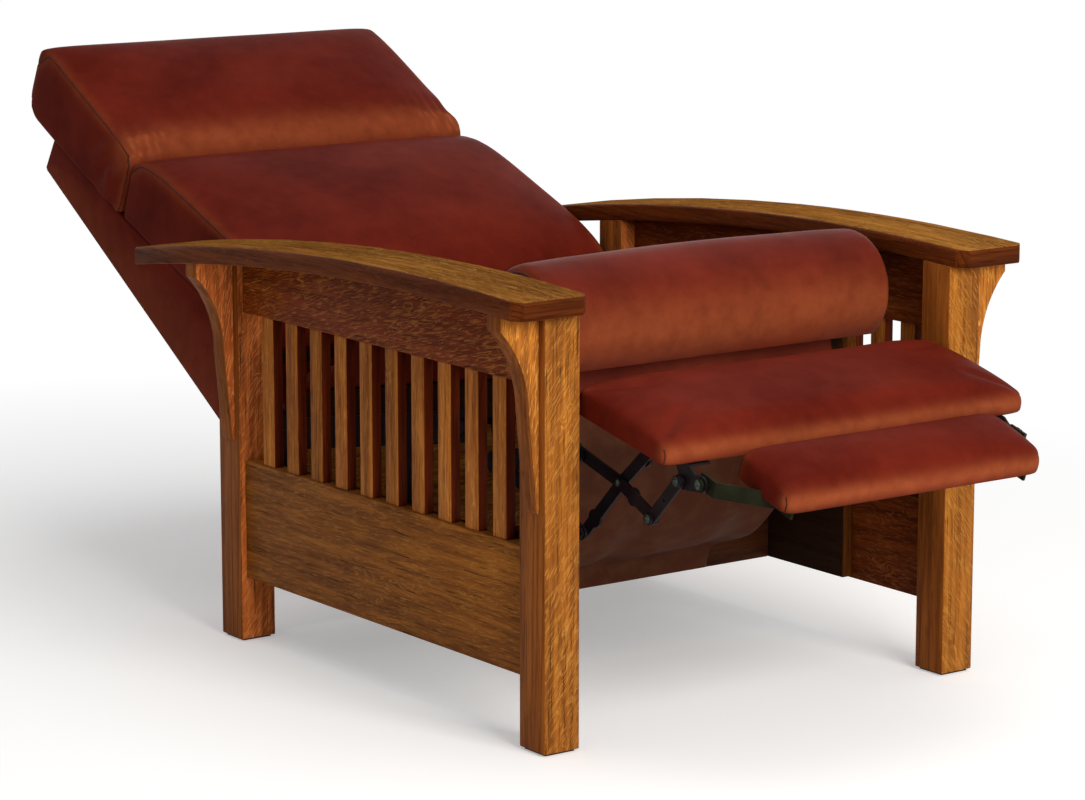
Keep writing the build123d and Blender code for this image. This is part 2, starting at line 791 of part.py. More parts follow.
# Scissor links of the footrest, one set on each side
for name, side in sides.items():
    with BuildPart() as long_link:
        with BuildSketch(slab(side, *second_plate)):
            strap(nose_pivot, cross_pivot, link_width)
            strap(cross_pivot, knee_pivot, link_width)
            with Locations(between(cross_pivot, knee_pivot, long_bulge_share)):
                Circle(link_bulge_radius)
            bores(cross_pivot, knee_pivot)
        extrude(amount=plate_thickness)
        peg(side, nose_pivot, pin_radius, second_plate[1], outer_plate[1] + side_clearance)
        nut(side, nose_pivot, outer_plate[1] + side_clearance)
    keep(long_link, f"long_link_{name}")

    with BuildPart() as cross_link:
        tail_end = forward(bracket_pivot, cross_link_tail, cross_link_upper_angle)
        with BuildSketch(slab(side, *third_plate)):
            strap(crank_pivot, cross_pivot, link_width)
            strap(cross_pivot, tail_end, link_width)
            with Locations(between(cross_pivot, crank_pivot, cross_bulge_share)):
                Circle(link_bulge_radius)
            bores(bracket_pivot)
            screw_hole(tail_end)
        extrude(amount=plate_thickness)
        peg(side, cross_pivot, pin_radius, third_plate[1], second_plate[1] + side_clearance)
        peg(side, cross_pivot, rivet_head_radius, second_plate[1] + side_clearance,
            second_plate[1] + side_clearance + rivet_head_height)
        peg(side, crank_pivot, rivet_head_radius, third_plate[0] - rivet_head_height,
            third_plate[0])
    keep(cross_link, f"cross_link_{name}")

    with BuildPart() as front_link:
        with BuildSketch(slab(side, *outer_plate)):
            strap(knee_pivot, ear_pivot, link_width)
            screw_hole(between(knee_pivot, ear_pivot, 1 / 2))
        extrude(amount=plate_thickness)
        peg(side, knee_pivot, pin_radius, second_plate[0], outer_plate[0])
        nut(side, knee_pivot, outer_plate[1])
        nut(side, ear_pivot, outer_plate[1])
    keep(front_link, f"front_link_{name}")

# Footrest brackets: a flange under the board, a rear ear and a longer front ear
ear_half = bracket_ear_width / 2
rear_ear = footrest_length - footrest_rear_gap
front_ear = bracket_ear_width * 1.5
flange_rear = rear_ear + bracket_ear_width


def under(along, below):
    """A place below the footrest board, from the pad's front edge."""
    return leaning(footrest_start, footrest_angle, along, -below)


for name, side in sides.items():
    with BuildPart() as footrest_bracket:
        with BuildSketch(slab(side, *inner_plate)):
            outline(under(rear_ear - ear_half, 0), under(rear_ear + ear_half, 0),
                    under(rear_ear + ear_half, footrest_bracket_drop),
                    under(rear_ear - ear_half, footrest_bracket_drop))
            with Locations(bracket_pivot):
                Circle(ear_half)
        extrude(amount=plate_thickness)
        with BuildSketch(slab(side, *second_plate)):
            strap(ear_pivot, flipper_pivot, bracket_ear_width)
            outline(under(0, 0), under(front_ear, 0), ear_pivot, flipper_pivot)
            bores(flipper_pivot)
        extrude(amount=plate_thickness)
        with BuildSketch(slab(side, second_plate[1] - bracket_flange_width, second_plate[1])):
            outline(under(0, 0), under(flange_rear, 0),
                    under(flange_rear, bracket_flange_thickness),
                    under(0, bracket_flange_thickness))
        extrude(amount=bracket_flange_width)
        peg(side, bracket_pivot, pin_radius, inner_plate[1], third_plate[1])
    keep(footrest_bracket, f"footrest_bracket_{name}")


def pad(start, lean, half, length, height, crown, draw, foot_corner, head_corner):
    """A crowned pad in the current part, lofted through its sections across the chair."""
    sections = []
    for place, share, draw_share, crown_share in swell(half):
        inset = draw * draw_share
        waist = pad_waist * (1 - share ** 2)
        foot, head = inset + waist, length - inset - waist
        top = height - inset
        low_foot, low_head, high_head, high_foot = (
            leaning(start, lean, along, above)
            for along, above in ((foot, 0), (head, 0), (head, top), (foot, top)))
        crest = leaning(start, lean, length / 2, top + crown * crown_share)
        with BuildSketch(side_plane(place)) as profile:
            with BuildLine():
                Polyline(high_foot, low_foot, low_head, high_head)
                ThreePointArc(high_head, crest, high_foot)
            make_face()
            fillet(profile.vertices().sort_by(Axis.X)[:2], radius=foot_corner)
            fillet(profile.vertices().sort_by(Axis.X)[-2:], radius=head_corner)
        sections.append(profile.sketch)
    loft(sections, ruled=True)


# Footrest: a plywood board recessed into the underside of a leather pad
with BuildPart() as footrest_board:
    with BuildSketch(layer(footrest_start, footrest_angle, 0)):
        with Locations((0, footrest_length / 2)):
            Rectangle(2 * (footrest_half_width - board_inset), footrest_length - 2 * board_inset)
    extrude(amount=board_thickness)
keep(footrest_board, "footrest_board")

with BuildPart() as footrest_pad:
    pad(footrest_start, footrest_angle, footrest_half_width, footrest_length, footrest_side_height,
        footrest_crown, foot_pad_draw, foot_pad_corner, foot_pad_corner)
    with BuildSketch(layer(footrest_start, footrest_angle, 0)):
        with Locations((0, footrest_length / 2)):
            Rectangle(2 * (footrest_half_width - board_inset + board_clearance),
                      footrest_length - 2 * (board_inset - board_clearance))
    extrude(amount=board_thickness + board_clearance, mode=Mode.SUBTRACT)
keep(footrest_pad, "footrest_pad")

# Flipper: the small outer footrest, with its board, pad and the levers that reach under it
with BuildPart() as flipper_board:
    with BuildSketch(layer(flipper_start, flipper_angle, 0)):
        with Locations((0, flipper_length / 2)):
            Rectangle(2 * (flipper_half_width - board_inset), flipper_length - 2 * board_inset)
    extrude(amount=board_thickness)
keep(flipper_board, "flipper_board")

with BuildPart() as flipper_pad:
    pad(flipper_start, flipper_angle, flipper_half_width, flipper_length, flipper_side_height,
        flipper_crown, foot_pad_draw, foot_pad_corner, foot_pad_corner)
    with BuildSketch(layer(flipper_start, flipper_angle, 0)):
        with Locations((0, flipper_length / 2)):
            Rectangle(2 * (flipper_half_width - board_inset + board_clearance),
                      flipper_length - 2 * (board_inset - board_clearance))
    extrude(amount=board_thickness + board_clearance, mode=Mode.SUBTRACT)
keep(flipper_pad, "flipper_pad")

lever_axle = flipper_length - flipper_setin
lever_foot = -flipper_pivot_drop - lever_under_axle
lever_end = flipper_half_width - lever_tuck
lever_clear = flipper_half_width + lever_side_gap
lever_share = (third_plate[0] - lever_clear) / (third_plate[0] - lever_end)
lever_bend = lever_axle - lever_straight
lever_turn = lever_axle - lever_end_reach
lever_tip = lever_axle - lever_length

for name, side in sides.items():
    with BuildPart() as flipper_lever:
        axle_end = lever_axle + lever_under_axle
        outer = [(side * third_plate[1], lever_bend),
                 (side * (lever_end + plate_thickness), lever_turn)]
        inner = [(side * third_plate[0], lever_bend), (side * lever_end, lever_turn)]
        with BuildSketch(layer(flipper_start, flipper_angle, lever_foot)):
            outline((side * third_plate[1], axle_end), *outer,
                    (side * (lever_end + plate_thickness), lever_tip),
                    (side * lever_end, lever_tip), *reversed(inner),
                    (side * third_plate[0], axle_end))
        extrude(amount=-lever_foot - board_clearance)
        with BuildSketch(layer(flipper_start, flipper_angle, lever_foot)):
            outline((side * third_plate[1], axle_end), outer[0],
                    between(*outer, lever_share), between(*inner, lever_share),
                    inner[0], (side * third_plate[0], axle_end))
        extrude(amount=lever_depth)
        with BuildSketch(layer(flipper_start, flipper_angle, -bracket_flange_thickness)):
            outline((side * (lever_end + plate_thickness), lever_turn),
                    (side * (lever_end + plate_thickness), lever_tip),
                    (side * (lever_end - lever_tab_width), lever_tip),
                    (side * (lever_end - lever_tab_width), lever_turn))
        extrude(amount=bracket_flange_thickness)
        peg(side, flipper_pivot, pin_radius, third_plate[1], second_plate[1] + side_clearance)
        nut(side, flipper_pivot, second_plate[1] + side_clearance)
    keep(flipper_lever, f"flipper_lever_{name}")

# Back frame: two tapered sides with a rear panel and three rails between them
for name, side in sides.items():
    with BuildPart() as back_side:
        with BuildSketch(slab(side, back_side_inner, back_half_width)):
            outline(back(0, 0), back(back_side_height, 0),
                    back(back_side_height, back_top_depth),
                    back(back_middle_height, back_middle_depth), back(0, back_lower_depth))
        extrude(amount=back_side_thickness)
    keep(back_side, f"back_side_{name}")

    with BuildPart() as back_bracket:
        with BuildSketch(slab(side, back_bracket_inner, back_side_inner)):
            strap(back_pivot, back(back_bracket_height, back_pivot_out), back_bracket_width)
            bores(back_pivot)
        extrude(amount=plate_thickness)
    keep(back_bracket, f"back_bracket_{name}")

with BuildPart() as back_panel:
    with BuildSketch(side_plane(-back_side_inner)):
        outline(back(0, 0), back(back_side_height, 0),
                back(back_side_height, back_panel_thickness), back(0, back_panel_thickness))
    extrude(amount=2 * back_side_inner)
keep(back_panel, "back_panel")


def back_depth(up):
    """How far the front edge of the back's sides stands out at a distance up."""
    if up < back_middle_height:
        drop = (back_lower_depth - back_middle_depth) * up / back_middle_height
        return back_lower_depth - drop
    share = (up - back_middle_height) / (back_side_height - back_middle_height)
    return back_middle_depth - (back_middle_depth - back_top_depth) * share


with BuildPart() as back_rails:
    rail_feet = (0, back_middle_rail_height, back_side_height - back_rail_width)
    for foot in rail_feet:
        head = foot + back_rail_width
        with BuildSketch(side_plane(-back_side_inner)):
            outline(back(foot, back_depth(foot) - back_rail_depth),
                    back(head, back_depth(head) - back_rail_depth),
                    back(head, back_depth(head)), back(foot, back_depth(foot)))
        extrude(amount=2 * back_side_inner)
keep(back_rails, "back_rails")

# Back cushion and head pillow, crowned and drawn in along their sides
with BuildPart() as back_pad:
    pad(back_pad_start, back_pad_lean, back_half_width, back_pad_length, back_pad_side,
        back_pad_crown, back_cushion_draw, back_pad_corner, back_pad_corner)
keep(back_pad, "back_pad")

with BuildPart() as head_pillow:
    pad(pillow_start, pillow_lean, back_half_width, pillow_length, pillow_side,
        pillow_crown, back_cushion_draw, pillow_foot_corner, pillow_head_corner)
keep(head_pillow, "head_pillow")

# Drop apron: cloth hung in a belly from the front seat rail to the front cross rail.
# Each point has its shares of the apron's run and drop, the angle at which the cloth
# faces there and its share of the depth of the folds
apron_shares = (
    (0, 0, 0, 0),
    (0.02, 0.27, 0, 0.4),
    (0.105, 0.568, 25, 1),
    (0.25, 0.675, 45, 1),
    (0.46, 0.776, 60, 1),
    (0.69, 0.828, 70, 0.7),
    (0.9, 0.871, 60, 0.4),
    (0.97, 0.92, 25, 0.2),
    (1, 1, 0, 0),
)
apron_top = seat(front_rail_reach + apron_top_inset, seat_rail_bottom - soft_gap)
apron_foot = (front_cross_rail_setback - soft_gap - apron_thickness, side_board_bottom)


def apron_line(swing, depth):
    """The points of one face of the apron, at a swing of its folds and a depth in it."""
    run, drop = apron_foot[0] - apron_top[0], apron_top[1] - apron_foot[1]
    points = []
    for run_share, drop_share, facing, fold_share in apron_shares:
        push = depth + swing * fold_share
        points.append((apron_top[0] + run * run_share + push * cos(radians(facing)),
                       apron_top[1] - drop * drop_share + push * sin(radians(facing))))
    return points


with BuildPart() as drop_apron:
    for index in range(apron_fold_count + 1):
        swing = apron_fold_depth / 2 * (-1) ** index
        place = apron_half_width * (2 * index / apron_fold_count - 1)
        with BuildSketch(side_plane(place)):
            with BuildLine():
                front = apron_line(swing, 0)
                rear = apron_line(swing, apron_thickness)
                for line in (front, rear):
                    for first in range(0, len(line) - 1, 2):
                        ThreePointArc(*line[first:first + 3])
                Line(front[0], rear[0])
                Line(front[-1], rear[-1])
            make_face()
    loft(ruled=True)
keep(drop_apron, "drop_apron")

print("front_y", round(front_y, 3))
for place_name, place in {
    "seat_pivot": seat_pivot, "lift_pivot": lift_pivot, "back_pivot": back_pivot,
    "nose_pivot": nose_pivot, "tube_pivot": tube_pivot, "cross_pivot": cross_pivot,
    "knee_pivot": knee_pivot, "bracket_pivot": bracket_pivot, "crank_pivot": crank_pivot,
    "ear_pivot": ear_pivot, "flipper_pivot": flipper_pivot,
}.items():
    print(place_name, [round(value, 2) for value in place])
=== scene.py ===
import json
import math

import bmesh
import bpy
import numpy as np
from bpy.props import FloatProperty, FloatVectorProperty, IntProperty, PointerProperty
from bpy.types import Operator, Panel, PropertyGroup
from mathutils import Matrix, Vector, bvhtree, kdtree


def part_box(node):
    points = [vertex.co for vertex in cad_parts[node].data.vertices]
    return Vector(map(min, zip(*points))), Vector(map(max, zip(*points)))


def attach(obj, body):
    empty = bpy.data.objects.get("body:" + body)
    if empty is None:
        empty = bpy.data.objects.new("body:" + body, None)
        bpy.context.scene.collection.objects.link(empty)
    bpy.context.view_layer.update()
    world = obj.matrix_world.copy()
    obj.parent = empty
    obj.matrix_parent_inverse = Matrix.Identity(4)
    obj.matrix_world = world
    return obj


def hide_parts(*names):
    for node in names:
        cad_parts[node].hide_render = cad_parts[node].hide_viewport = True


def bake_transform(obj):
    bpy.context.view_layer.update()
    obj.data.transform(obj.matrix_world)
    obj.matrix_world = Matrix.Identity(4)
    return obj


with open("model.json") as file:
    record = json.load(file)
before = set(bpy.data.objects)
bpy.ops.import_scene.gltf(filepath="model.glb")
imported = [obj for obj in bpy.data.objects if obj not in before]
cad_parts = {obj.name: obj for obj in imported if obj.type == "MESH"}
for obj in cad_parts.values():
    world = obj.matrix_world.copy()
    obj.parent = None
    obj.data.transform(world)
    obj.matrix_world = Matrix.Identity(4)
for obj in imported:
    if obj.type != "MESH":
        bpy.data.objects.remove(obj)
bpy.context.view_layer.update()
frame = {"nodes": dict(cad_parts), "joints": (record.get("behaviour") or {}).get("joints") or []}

bl_info = {
    "name": "Mission Reclining Armchair",
    "version": (1, 0, 0),
    "blender": (4, 5, 0),
    "location": "View3D > Sidebar > Recliner",
    "description": "Upholsters and finishes a reclining oak armchair",
    "category": "Object",
}

PIVOTS = {joint["name"]: joint["pos_m"] for joint in frame["joints"]}
SEAT_PIVOT, BACK_PIVOT = PIVOTS["recline"], PIVOTS["back_tilt"]
SEAT_SLOPE, BACK_SLOPE = math.radians(10.5), math.radians(32.0)
BACK_CORNER = (0.051, -0.095)  # the back's lower rear edge, along and out from its pivot
SIDES = {"left": 1, "right": -1}

# The camera as it was fitted to the photograph: width and focal length in pixels, angles
# in degrees, and its place in metres, whose depth starts at the front of the near post
PHOTO_WIDTH, PHOTO_FOCAL = 1085, 3704.144
CAMERA_YAW, CAMERA_PITCH = 36.133, 10.754
CAMERA_PLACE = (-3.1721, -3.8180, 1.3806)
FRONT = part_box("post_front_right")[0].y
SENSOR = 36

# The cover's cloth simulation: its frames, and how far from a seam it swings free
SWELL_FRAMES = 18
SEAM_HOLD = 0.018
CLOTH = {"quality": 5, "mass": 0.3, "tension_stiffness": 12, "compression_stiffness": 12,
         "shear_stiffness": 4, "bending_stiffness": 1.0, "use_pressure": True,
         "uniform_pressure_force": 4.0, "vertex_group_mass": "held"}


# Places on the side view of the chair, each a depth and a height

def leaning(start, lean, along, above):
    """A place along and above a line that leans up towards the rear."""
    y = start[0] + along * math.cos(lean) - above * math.sin(lean)
    z = start[1] + along * math.sin(lean) + above * math.cos(lean)
    return y, z


def seat_place(reach, rise):
    """A place on the seat, forward of and above its rear pivot."""
    return leaning(SEAT_PIVOT[1:], -SEAT_SLOPE, -reach, rise)


def back_place(up, out):
    """A place on the back, up from its lower end and out from its rear face."""
    return leaning(BACK_PIVOT[1:], BACK_SLOPE, up + BACK_CORNER[0], out + BACK_CORNER[1])


def arc_points(centre, radius, start, end, steps):
    """Points of an arc, at angles in degrees."""
    angles = [math.radians(start + (end - start) * i / steps) for i in range(steps + 1)]
    return [(centre[0] + radius * math.cos(angle), centre[1] + radius * math.sin(angle))
            for angle in angles]


def stepped(points, steps):
    """The points of a path, with each of its stretches cut into even steps."""
    path = []
    for a, b in zip(points, points[1:]):
        path += [tuple(p + (q - p) * i / steps for p, q in zip(a, b))
                 for i in range(steps)]
    return path + [tuple(points[-1])]


# Mesh making

def new_object(name, data):
    piece = bpy.data.objects.new(name, data)
    bpy.context.scene.collection.objects.link(piece)
    return piece


def new_mesh(name, verts, faces):
    mesh = bpy.data.meshes.new(name)
    mesh.from_pydata([tuple(v) for v in verts], [], faces)
    mesh.update()
    return new_object(name, mesh)


def modify(piece, kind, **settings):
    """Shapes a piece with a modifier, and keeps the mesh that this makes."""
    modifier = piece.modifiers.new("Shaping", kind)
    for name, value in settings.items():
        setattr(modifier, name, value)
    graph = bpy.context.evaluated_depsgraph_get()
    shaped = bpy.data.meshes.new_from_object(piece.evaluated_get(graph))
    old = piece.data
    piece.modifiers.clear()
    piece.data = shaped
    bpy.data.meshes.remove(old)


def shade_smooth(piece, sharp=None):
    """Shades a piece smooth, save at edges that turn by more than sharp degrees."""
    piece.data.polygons.foreach_set("use_smooth", [True] * len(piece.data.polygons))
    piece.data.update()
    if sharp:
        piece.data.set_sharp_from_angle(angle=math.radians(sharp))


def loft_rings(name, rings):
    """A closed body through rings of the same number of points."""
    count = len(rings[0])
    last = (len(rings) - 1) * count
    faces = []
    for i in range(0, last, count):
        for j in range(count):
            k = (j + 1) % count
            faces.append((i + j, i + k, i + count + k, i + count + j))
    faces += [tuple(range(count))[::-1], tuple(range(last, last + count))]
    piece = new_mesh(name, [point for ring in rings for point in ring], faces)
    tidy = bmesh.new()
    tidy.from_mesh(piece.data)
    bmesh.ops.recalc_face_normals(tidy, faces=tidy.faces)
    tidy.to_mesh(piece.data)
    tidy.free()
    return piece


def lathe(name, line, centre, axis, count=24):
    """A turned piece: a line of radius and height, spun about an axis."""
    turn = Vector((0, 0, 1)).rotation_difference(Vector(axis))
    rings = []
    for radius, height in line:
        spots = [Vector((radius * math.cos(2 * math.pi * i / count),
                         radius * math.sin(2 * math.pi * i / count), height))
                 for i in range(count)]
        rings.append([Vector(centre) + turn @ spot for spot in spots])
    piece = loft_rings(name, rings)
    shade_smooth(piece, sharp=40)
    return piece


def crown_share(across):
    """How much of a cushion's crown it has at a share of the way to its side."""
    return 0.75 * (1 - across ** 8) + 0.25 * (1 - across ** 2)


def stations(half, rounding, count=15, turns=5):
    """Places across a cushion with the draw of its rounded ends and its crown share."""
    flat = half - rounding
    angles = [math.pi / 2 * i / turns for i in range(turns)]
    ends = [(flat + rounding * math.cos(a), rounding * (1 - math.sin(a))) for a in angles]
    rows = ends + [(flat * (1 - 2 * i / count), 0.0) for i in range(count + 1)]
    rows += [(-x, draw) for x, draw in reversed(ends)]
    return [(x, draw, crown_share(abs(x / half))) for x, draw in rows]


def grid_block(name, counts, place):
    """A closed block of even quads, each of whose places a function sets."""
    index, verts, faces = {}, [], []

    def corner(spot):
        if spot not in index:
            i, j, k = spot
            index[spot] = len(verts)
            verts.append(place(2 * i / counts[0] - 1, j / counts[1], k / counts[2]))
        return index[spot]

    for fixed, first, second in ((2, 1, 0), (1, 0, 2), (0, 2, 1)):
        outer, inner = sorted((first, second))
        for a in range(counts[outer]):
            for b in range(counts[inner]):
                for level, turn in ((0, 1), (counts[fixed], -1)):
                    low = {outer: a, inner: b, fixed: level}
                    faces.append([
                        corner(tuple(low[axis] + (axis in steps) for axis in range(3)))
                        for steps in ((), (first,), (first, second), (second,))][::turn])
    return new_mesh(name, verts, faces)


def rounded(along, above, length, height, corners):
    """A place of a rectangle moved so that its corners are arcs of the given radii."""
    foot_low, head_low, head_high, foot_high = corners
    for right, top, radius in ((0, 0, foot_low), (1, 0, head_low), (1, 1, head_high),
                               (0, 1, foot_high)):
        run = along - (length - radius) if right else radius - along
        rise = above - (height - radius) if top else radius - above
        if run > 0 and rise > 0:
            share = max(run, rise) / math.hypot(run, rise)
            run, rise = run * share, rise * share
            return (length - radius + run if right else radius - run,
                    height - radius + rise if top else radius - rise)
    return along, above


def vertex_rows(piece, kind="co"):
    """The places (co) or the directions (normal) of a mesh's points, one in a row."""
    values = np.zeros(len(piece.data.vertices) * 3)
    piece.data.vertices.foreach_get(kind, values)
    return values.reshape(-1, 3)


def set_places(piece, points):
    piece.data.vertices.foreach_set("co", np.asarray(points, float).ravel())
    piece.data.update()


def densify(path, step):
    """A path's points, with more between them so that none are a step apart."""
    points = []
    for a, b in zip(path, path[1:]):
        a, b = Vector(a), Vector(b)
        parts = max(1, int((b - a).length / step))
        points += [a.lerp(b, i / parts) for i in range(parts)]
    return points + [Vector(path[-1])]


def nearest(paths, points):
    """The distance from each point to the nearest of the seam paths."""
    samples = [point for path in paths for point in densify(path, 0.004)]
    tree = kdtree.KDTree(len(samples))
    for i, point in enumerate(samples):
        tree.insert(point, i)
    tree.balance()
    return np.array([tree.find(Vector(point))[2] for point in points])


def swell_cloth(piece, seams, above, cap):
    """Blows the cover up by cloth simulation, held at its seams and where it rests.

    It is given how high each point lies above its rest, and the furthest that one moves.
    """
    rest = vertex_rows(piece)
    loose = np.clip((above - 0.004) / 0.03, 0, 1)
    loose *= np.clip(nearest(seams, rest) / SEAM_HOLD, 0, 1)
    group = piece.vertex_groups.new(name=CLOTH["vertex_group_mass"])
    for i in np.nonzero(loose < 0.35)[0]:
        group.add([int(i)], 1.0, "REPLACE")
    cloth = piece.modifiers.new("Cloth", "CLOTH")
    for name, value in CLOTH.items():
        setattr(cloth.settings, name, value)
    cloth.settings.effector_weights.gravity = 0
    cloth.collision_settings.use_collision = False
    scene = bpy.context.scene
    for number in range(1, SWELL_FRAMES + 1):
        scene.frame_set(number)
    graph = bpy.context.evaluated_depsgraph_get()
    move = vertex_rows(piece.evaluated_get(graph)) - rest
    piece.modifiers.clear()
    piece.vertex_groups.clear()
    scene.frame_set(1)
    length = np.linalg.norm(move, axis=1, keepdims=True)
    move *= np.minimum(1, cap / np.maximum(length, 1e-9))
    set_places(piece, rest + move * loose[:, None])


def press_seams(piece, seams, depth, width):
    """Draws the cover in along its seams."""
    points = vertex_rows(piece)
    pull = depth * np.exp(-(nearest(seams, points) / width) ** 2)
    set_places(piece, points - vertex_rows(piece, "normal") * pull[:, None])


def gather(piece, corners, reach, pitch, depth, run=(1, 0, 0)):
    """Small folds that fan out from the corners where the cover is gathered."""
    points = vertex_rows(piece)
    push = np.zeros(len(points))
    for number, corner in enumerate(corners):
        away = points - np.array(corner)
        far = np.linalg.norm(away, axis=1)
        phase = 2 * math.pi * (away @ np.array(run)) / pitch + 1.3 * number
        swing = np.cos(phase + 1.8 * np.sin(far / reach * 2.2))
        push += depth * swing * np.exp(-(far / reach) ** 2) * np.clip(far / 0.012, 0, 1)
    set_places(piece, points + vertex_rows(piece, "normal") * push[:, None])


def paint_rub_and_sheen(piece, seams, bands=()):
    """Stores the leather's wear and painted sheen, along its seams and in bands under strain
    where the light catches it.
    """
    points = vertex_rows(piece)
    rub_and_sheen = 0.35 * np.exp(-(nearest(seams, points) / 0.012) ** 2)
    for line, width, amount in bands:
        rub_and_sheen = np.maximum(rub_and_sheen, amount * np.exp(-(nearest([line], points) / width) ** 2))
    layer = piece.data.attributes.new("rub_and_sheen", "FLOAT", "POINT")
    layer.data.foreach_set("value", rub_and_sheen.astype(np.float32))


# Node groups that several finishes share

def set_inputs(tree, node, inputs):
    """Gives a node's inputs their values, or joins them to the outputs of other nodes."""
    for key, item in inputs.items():
        if isinstance(item, bpy.types.NodeSocket):
            tree.links.new(item, node.inputs[key])
        else:
            node.inputs[key].default_value = item


def add_node(tree, kind, inputs=None, **options):
    node = tree.nodes.new(f"ShaderNode{kind}")
    for name, value in options.items():
        setattr(node, name, value)
    set_inputs(tree, node, inputs or {})
    return node


def noise(tree, vector, scale, detail=4.0, roughness=0.55, distortion=0.0):
    return add_node(tree, "TexNoise", {
        "Vector": vector, "Scale": scale, "Detail": detail, "Roughness": roughness,
        "Distortion": distortion}).outputs["Fac"]


def vectors(tree, operation, first, second):
    return add_node(tree, "VectorMath", {0: first, 1: second},
                    operation=operation).outputs["Vector"]


def remap(tree, value, low, high, out_low=0.0, out_high=1.0):
    return add_node(tree, "MapRange", {
        "Value": value, "From Min": low, "From Max": high, "To Min": out_low,
        "To Max": out_high}).outputs["Result"]


def sums(tree, operation, first, second):
    return add_node(tree, "Math", {0: first, 1: second},
                    operation=operation).outputs["Value"]


def times(tree, first, second):
    return sums(tree, "MULTIPLY", first, second)


def mix(tree, factor, first, second):
    """Mixes two colours, which a Mix node takes by its inputs 6 and 7."""
    node = add_node(tree, "Mix", data_type="RGBA")
    set_inputs(tree, node, {"Factor": factor, 6: first, 7: second})
    return node.outputs[2]


def start_group(name, inputs):
    """A pattern's node group, with the outputs that every pattern gives."""
    group = bpy.data.node_groups.new(name, "ShaderNodeTree")
    outputs = {"Color": "Color", "Roughness": "Float", "Height": "Float"}
    for way, sockets in (("INPUT", inputs), ("OUTPUT", outputs)):
        for label, kind in sockets.items():
            group.interface.new_socket(label, in_out=way, socket_type=f"NodeSocket{kind}")
    return group, group.nodes.new("NodeGroupInput").outputs


def end_group(group, colour, roughness, height):
    set_inputs(group, group.nodes.new("NodeGroupOutput"),
               {"Color": colour, "Roughness": roughness, "Height": height})


def oak_figure_group():
    """Quartersawn oak, whose grain runs along the Z of the vector that it is given."""
    group, given = start_group("Quartersawn Oak", {
        "Vector": "Vector", "Fleck Vector": "Vector", "Dark": "Color", "Middle": "Color",
        "Light": "Color", "Flecks": "Float", "Growth": "Float", "Pores": "Float",
        "Board Tone": "Float"})

    def grain(vector, length, *values):
        """Noise drawn out along the grain."""
        return noise(group, vectors(group, "MULTIPLY", vector, (1, 1, length)), *values)

    vector, slanted = given["Vector"], given["Fleck Vector"]
    streaks = grain(vector, 0.05, 95, 5, 0.6)
    broad = grain(vector, 0.12, 13, 3, 0.5, 0.4)
    tone = sums(group, "ADD", times(group, streaks, 0.62), times(group, broad, 0.38))
    colour = mix(group, remap(group, tone, 0.4, 0.6), given["Dark"], given["Middle"])
    rings = sums(group, "PINGPONG",
                 times(group, grain(vector, 0.05, 16, 2, 0.4, 0.3), 26.0), 1.0)
    growth = times(group, remap(group, rings, 0.5, 1.0), given["Growth"])
    colour = mix(group, growth, colour, given["Dark"])
    sway = times(group, grain(vector, 0.6, 48, 2), 0.013)
    across = add_node(group, "CombineXYZ", {"X": sway, "Y": sway}).outputs["Vector"]
    bent = vectors(group, "ADD", slanted, across)
    lines = sums(group, "PINGPONG",
                 times(group, grain(bent, 0.08, 34, 2, 0.4), 46.0), 1.0)
    broken = grain(slanted, 0.3, 90, 3)
    patches = remap(group, noise(group, vector, 8, 2), 0.4, 0.62, 0.2, 1.0)
    ribbon = times(group, times(group, remap(group, lines, 0.58, 0.94),
                                remap(group, broken, 0.34, 0.56)), patches)
    short = grain(slanted, 0.12, 400, 2, 0.5, 0.4)
    dashes = times(group, remap(group, short, 0.54, 0.64), 0.6)
    fleck = times(group, sums(group, "MAXIMUM", ribbon, dashes), given["Flecks"])
    colour = mix(group, fleck, colour, given["Light"])
    pore = times(group, remap(group, grain(vector, 0.035, 480, 2, 0.5), 0.58, 0.72),
                 given["Pores"])
    colour = mix(group, pore, colour, (0.02, 0.006, 0.002, 1))
    shade = add_node(group, "HueSaturation", {"Value": given["Board Tone"],
                                              "Color": colour})
    rough = sums(group, "ADD", remap(group, streaks, 0.3, 0.7, 0.48, 0.36),
                 times(group, pore, 0.25))
    height = sums(group, "SUBTRACT", times(group, streaks, 0.35), pore)
    end_group(group, shade.outputs["Color"], rough, height)


def leather_hide_group():
    """Smooth upholstery leather with mottled dye, pores, and lighter places of wear and painted
    sheen.
    """
    group, given = start_group("Leather Hide", {
        "Vector": "Vector", "Deep": "Color", "Body": "Color", "Rubbed And Sheen": "Color",
        "Rub And Sheen": "Float"})
    vector = given["Vector"]
    clouds = noise(group, vector, 6.5, 3, 0.5)
    mottle = noise(group, vector, 38, 4, 0.6)
    tone = sums(group, "ADD", times(group, clouds, 0.7), times(group, mottle, 0.3))
    colour = mix(group, remap(group, tone, 0.32, 0.66), given["Deep"], given["Body"])
    # Lighter with wear, and with a painted sheen where the light catches the leather.
    worn_and_sheen = times(group, given["Rub And Sheen"], remap(group, mottle, 0.25, 0.75, 0.55, 1.0))
    colour = mix(group, worn_and_sheen, colour, given["Rubbed And Sheen"])
    cells = add_node(group, "TexVoronoi", {"Scale": 620, "Vector": vector}, feature="F1")
    pebble = times(group, cells.outputs["Distance"], 0.5)
    crease = noise(group, vector, 130, 5, 0.7, 0.6)
    end_group(group, colour, remap(group, tone, 0.3, 0.7, 0.5, 0.4),
              sums(group, "ADD", pebble, crease))


def speckle_group():
    """Fine uneven paint, plastic or felt: a little tone, roughness and height."""
    group, given = start_group("Fine Speckle", {
        "Vector": "Vector", "Base": "Color", "Glint": "Color", "Scale": "Float",
        "Dull": "Float"})
    fine = noise(group, given["Vector"], given["Scale"], 5, 0.5)
    broad = noise(group, given["Vector"], 30, 3)
    colour = mix(group, remap(group, broad, 0.45, 0.75), given["Base"], given["Glint"])
    rough = sums(group, "ADD", given["Dull"], remap(group, fine, 0.3, 0.7, -0.1, 0.1))
    end_group(group, colour, rough, fine)


# Finishes

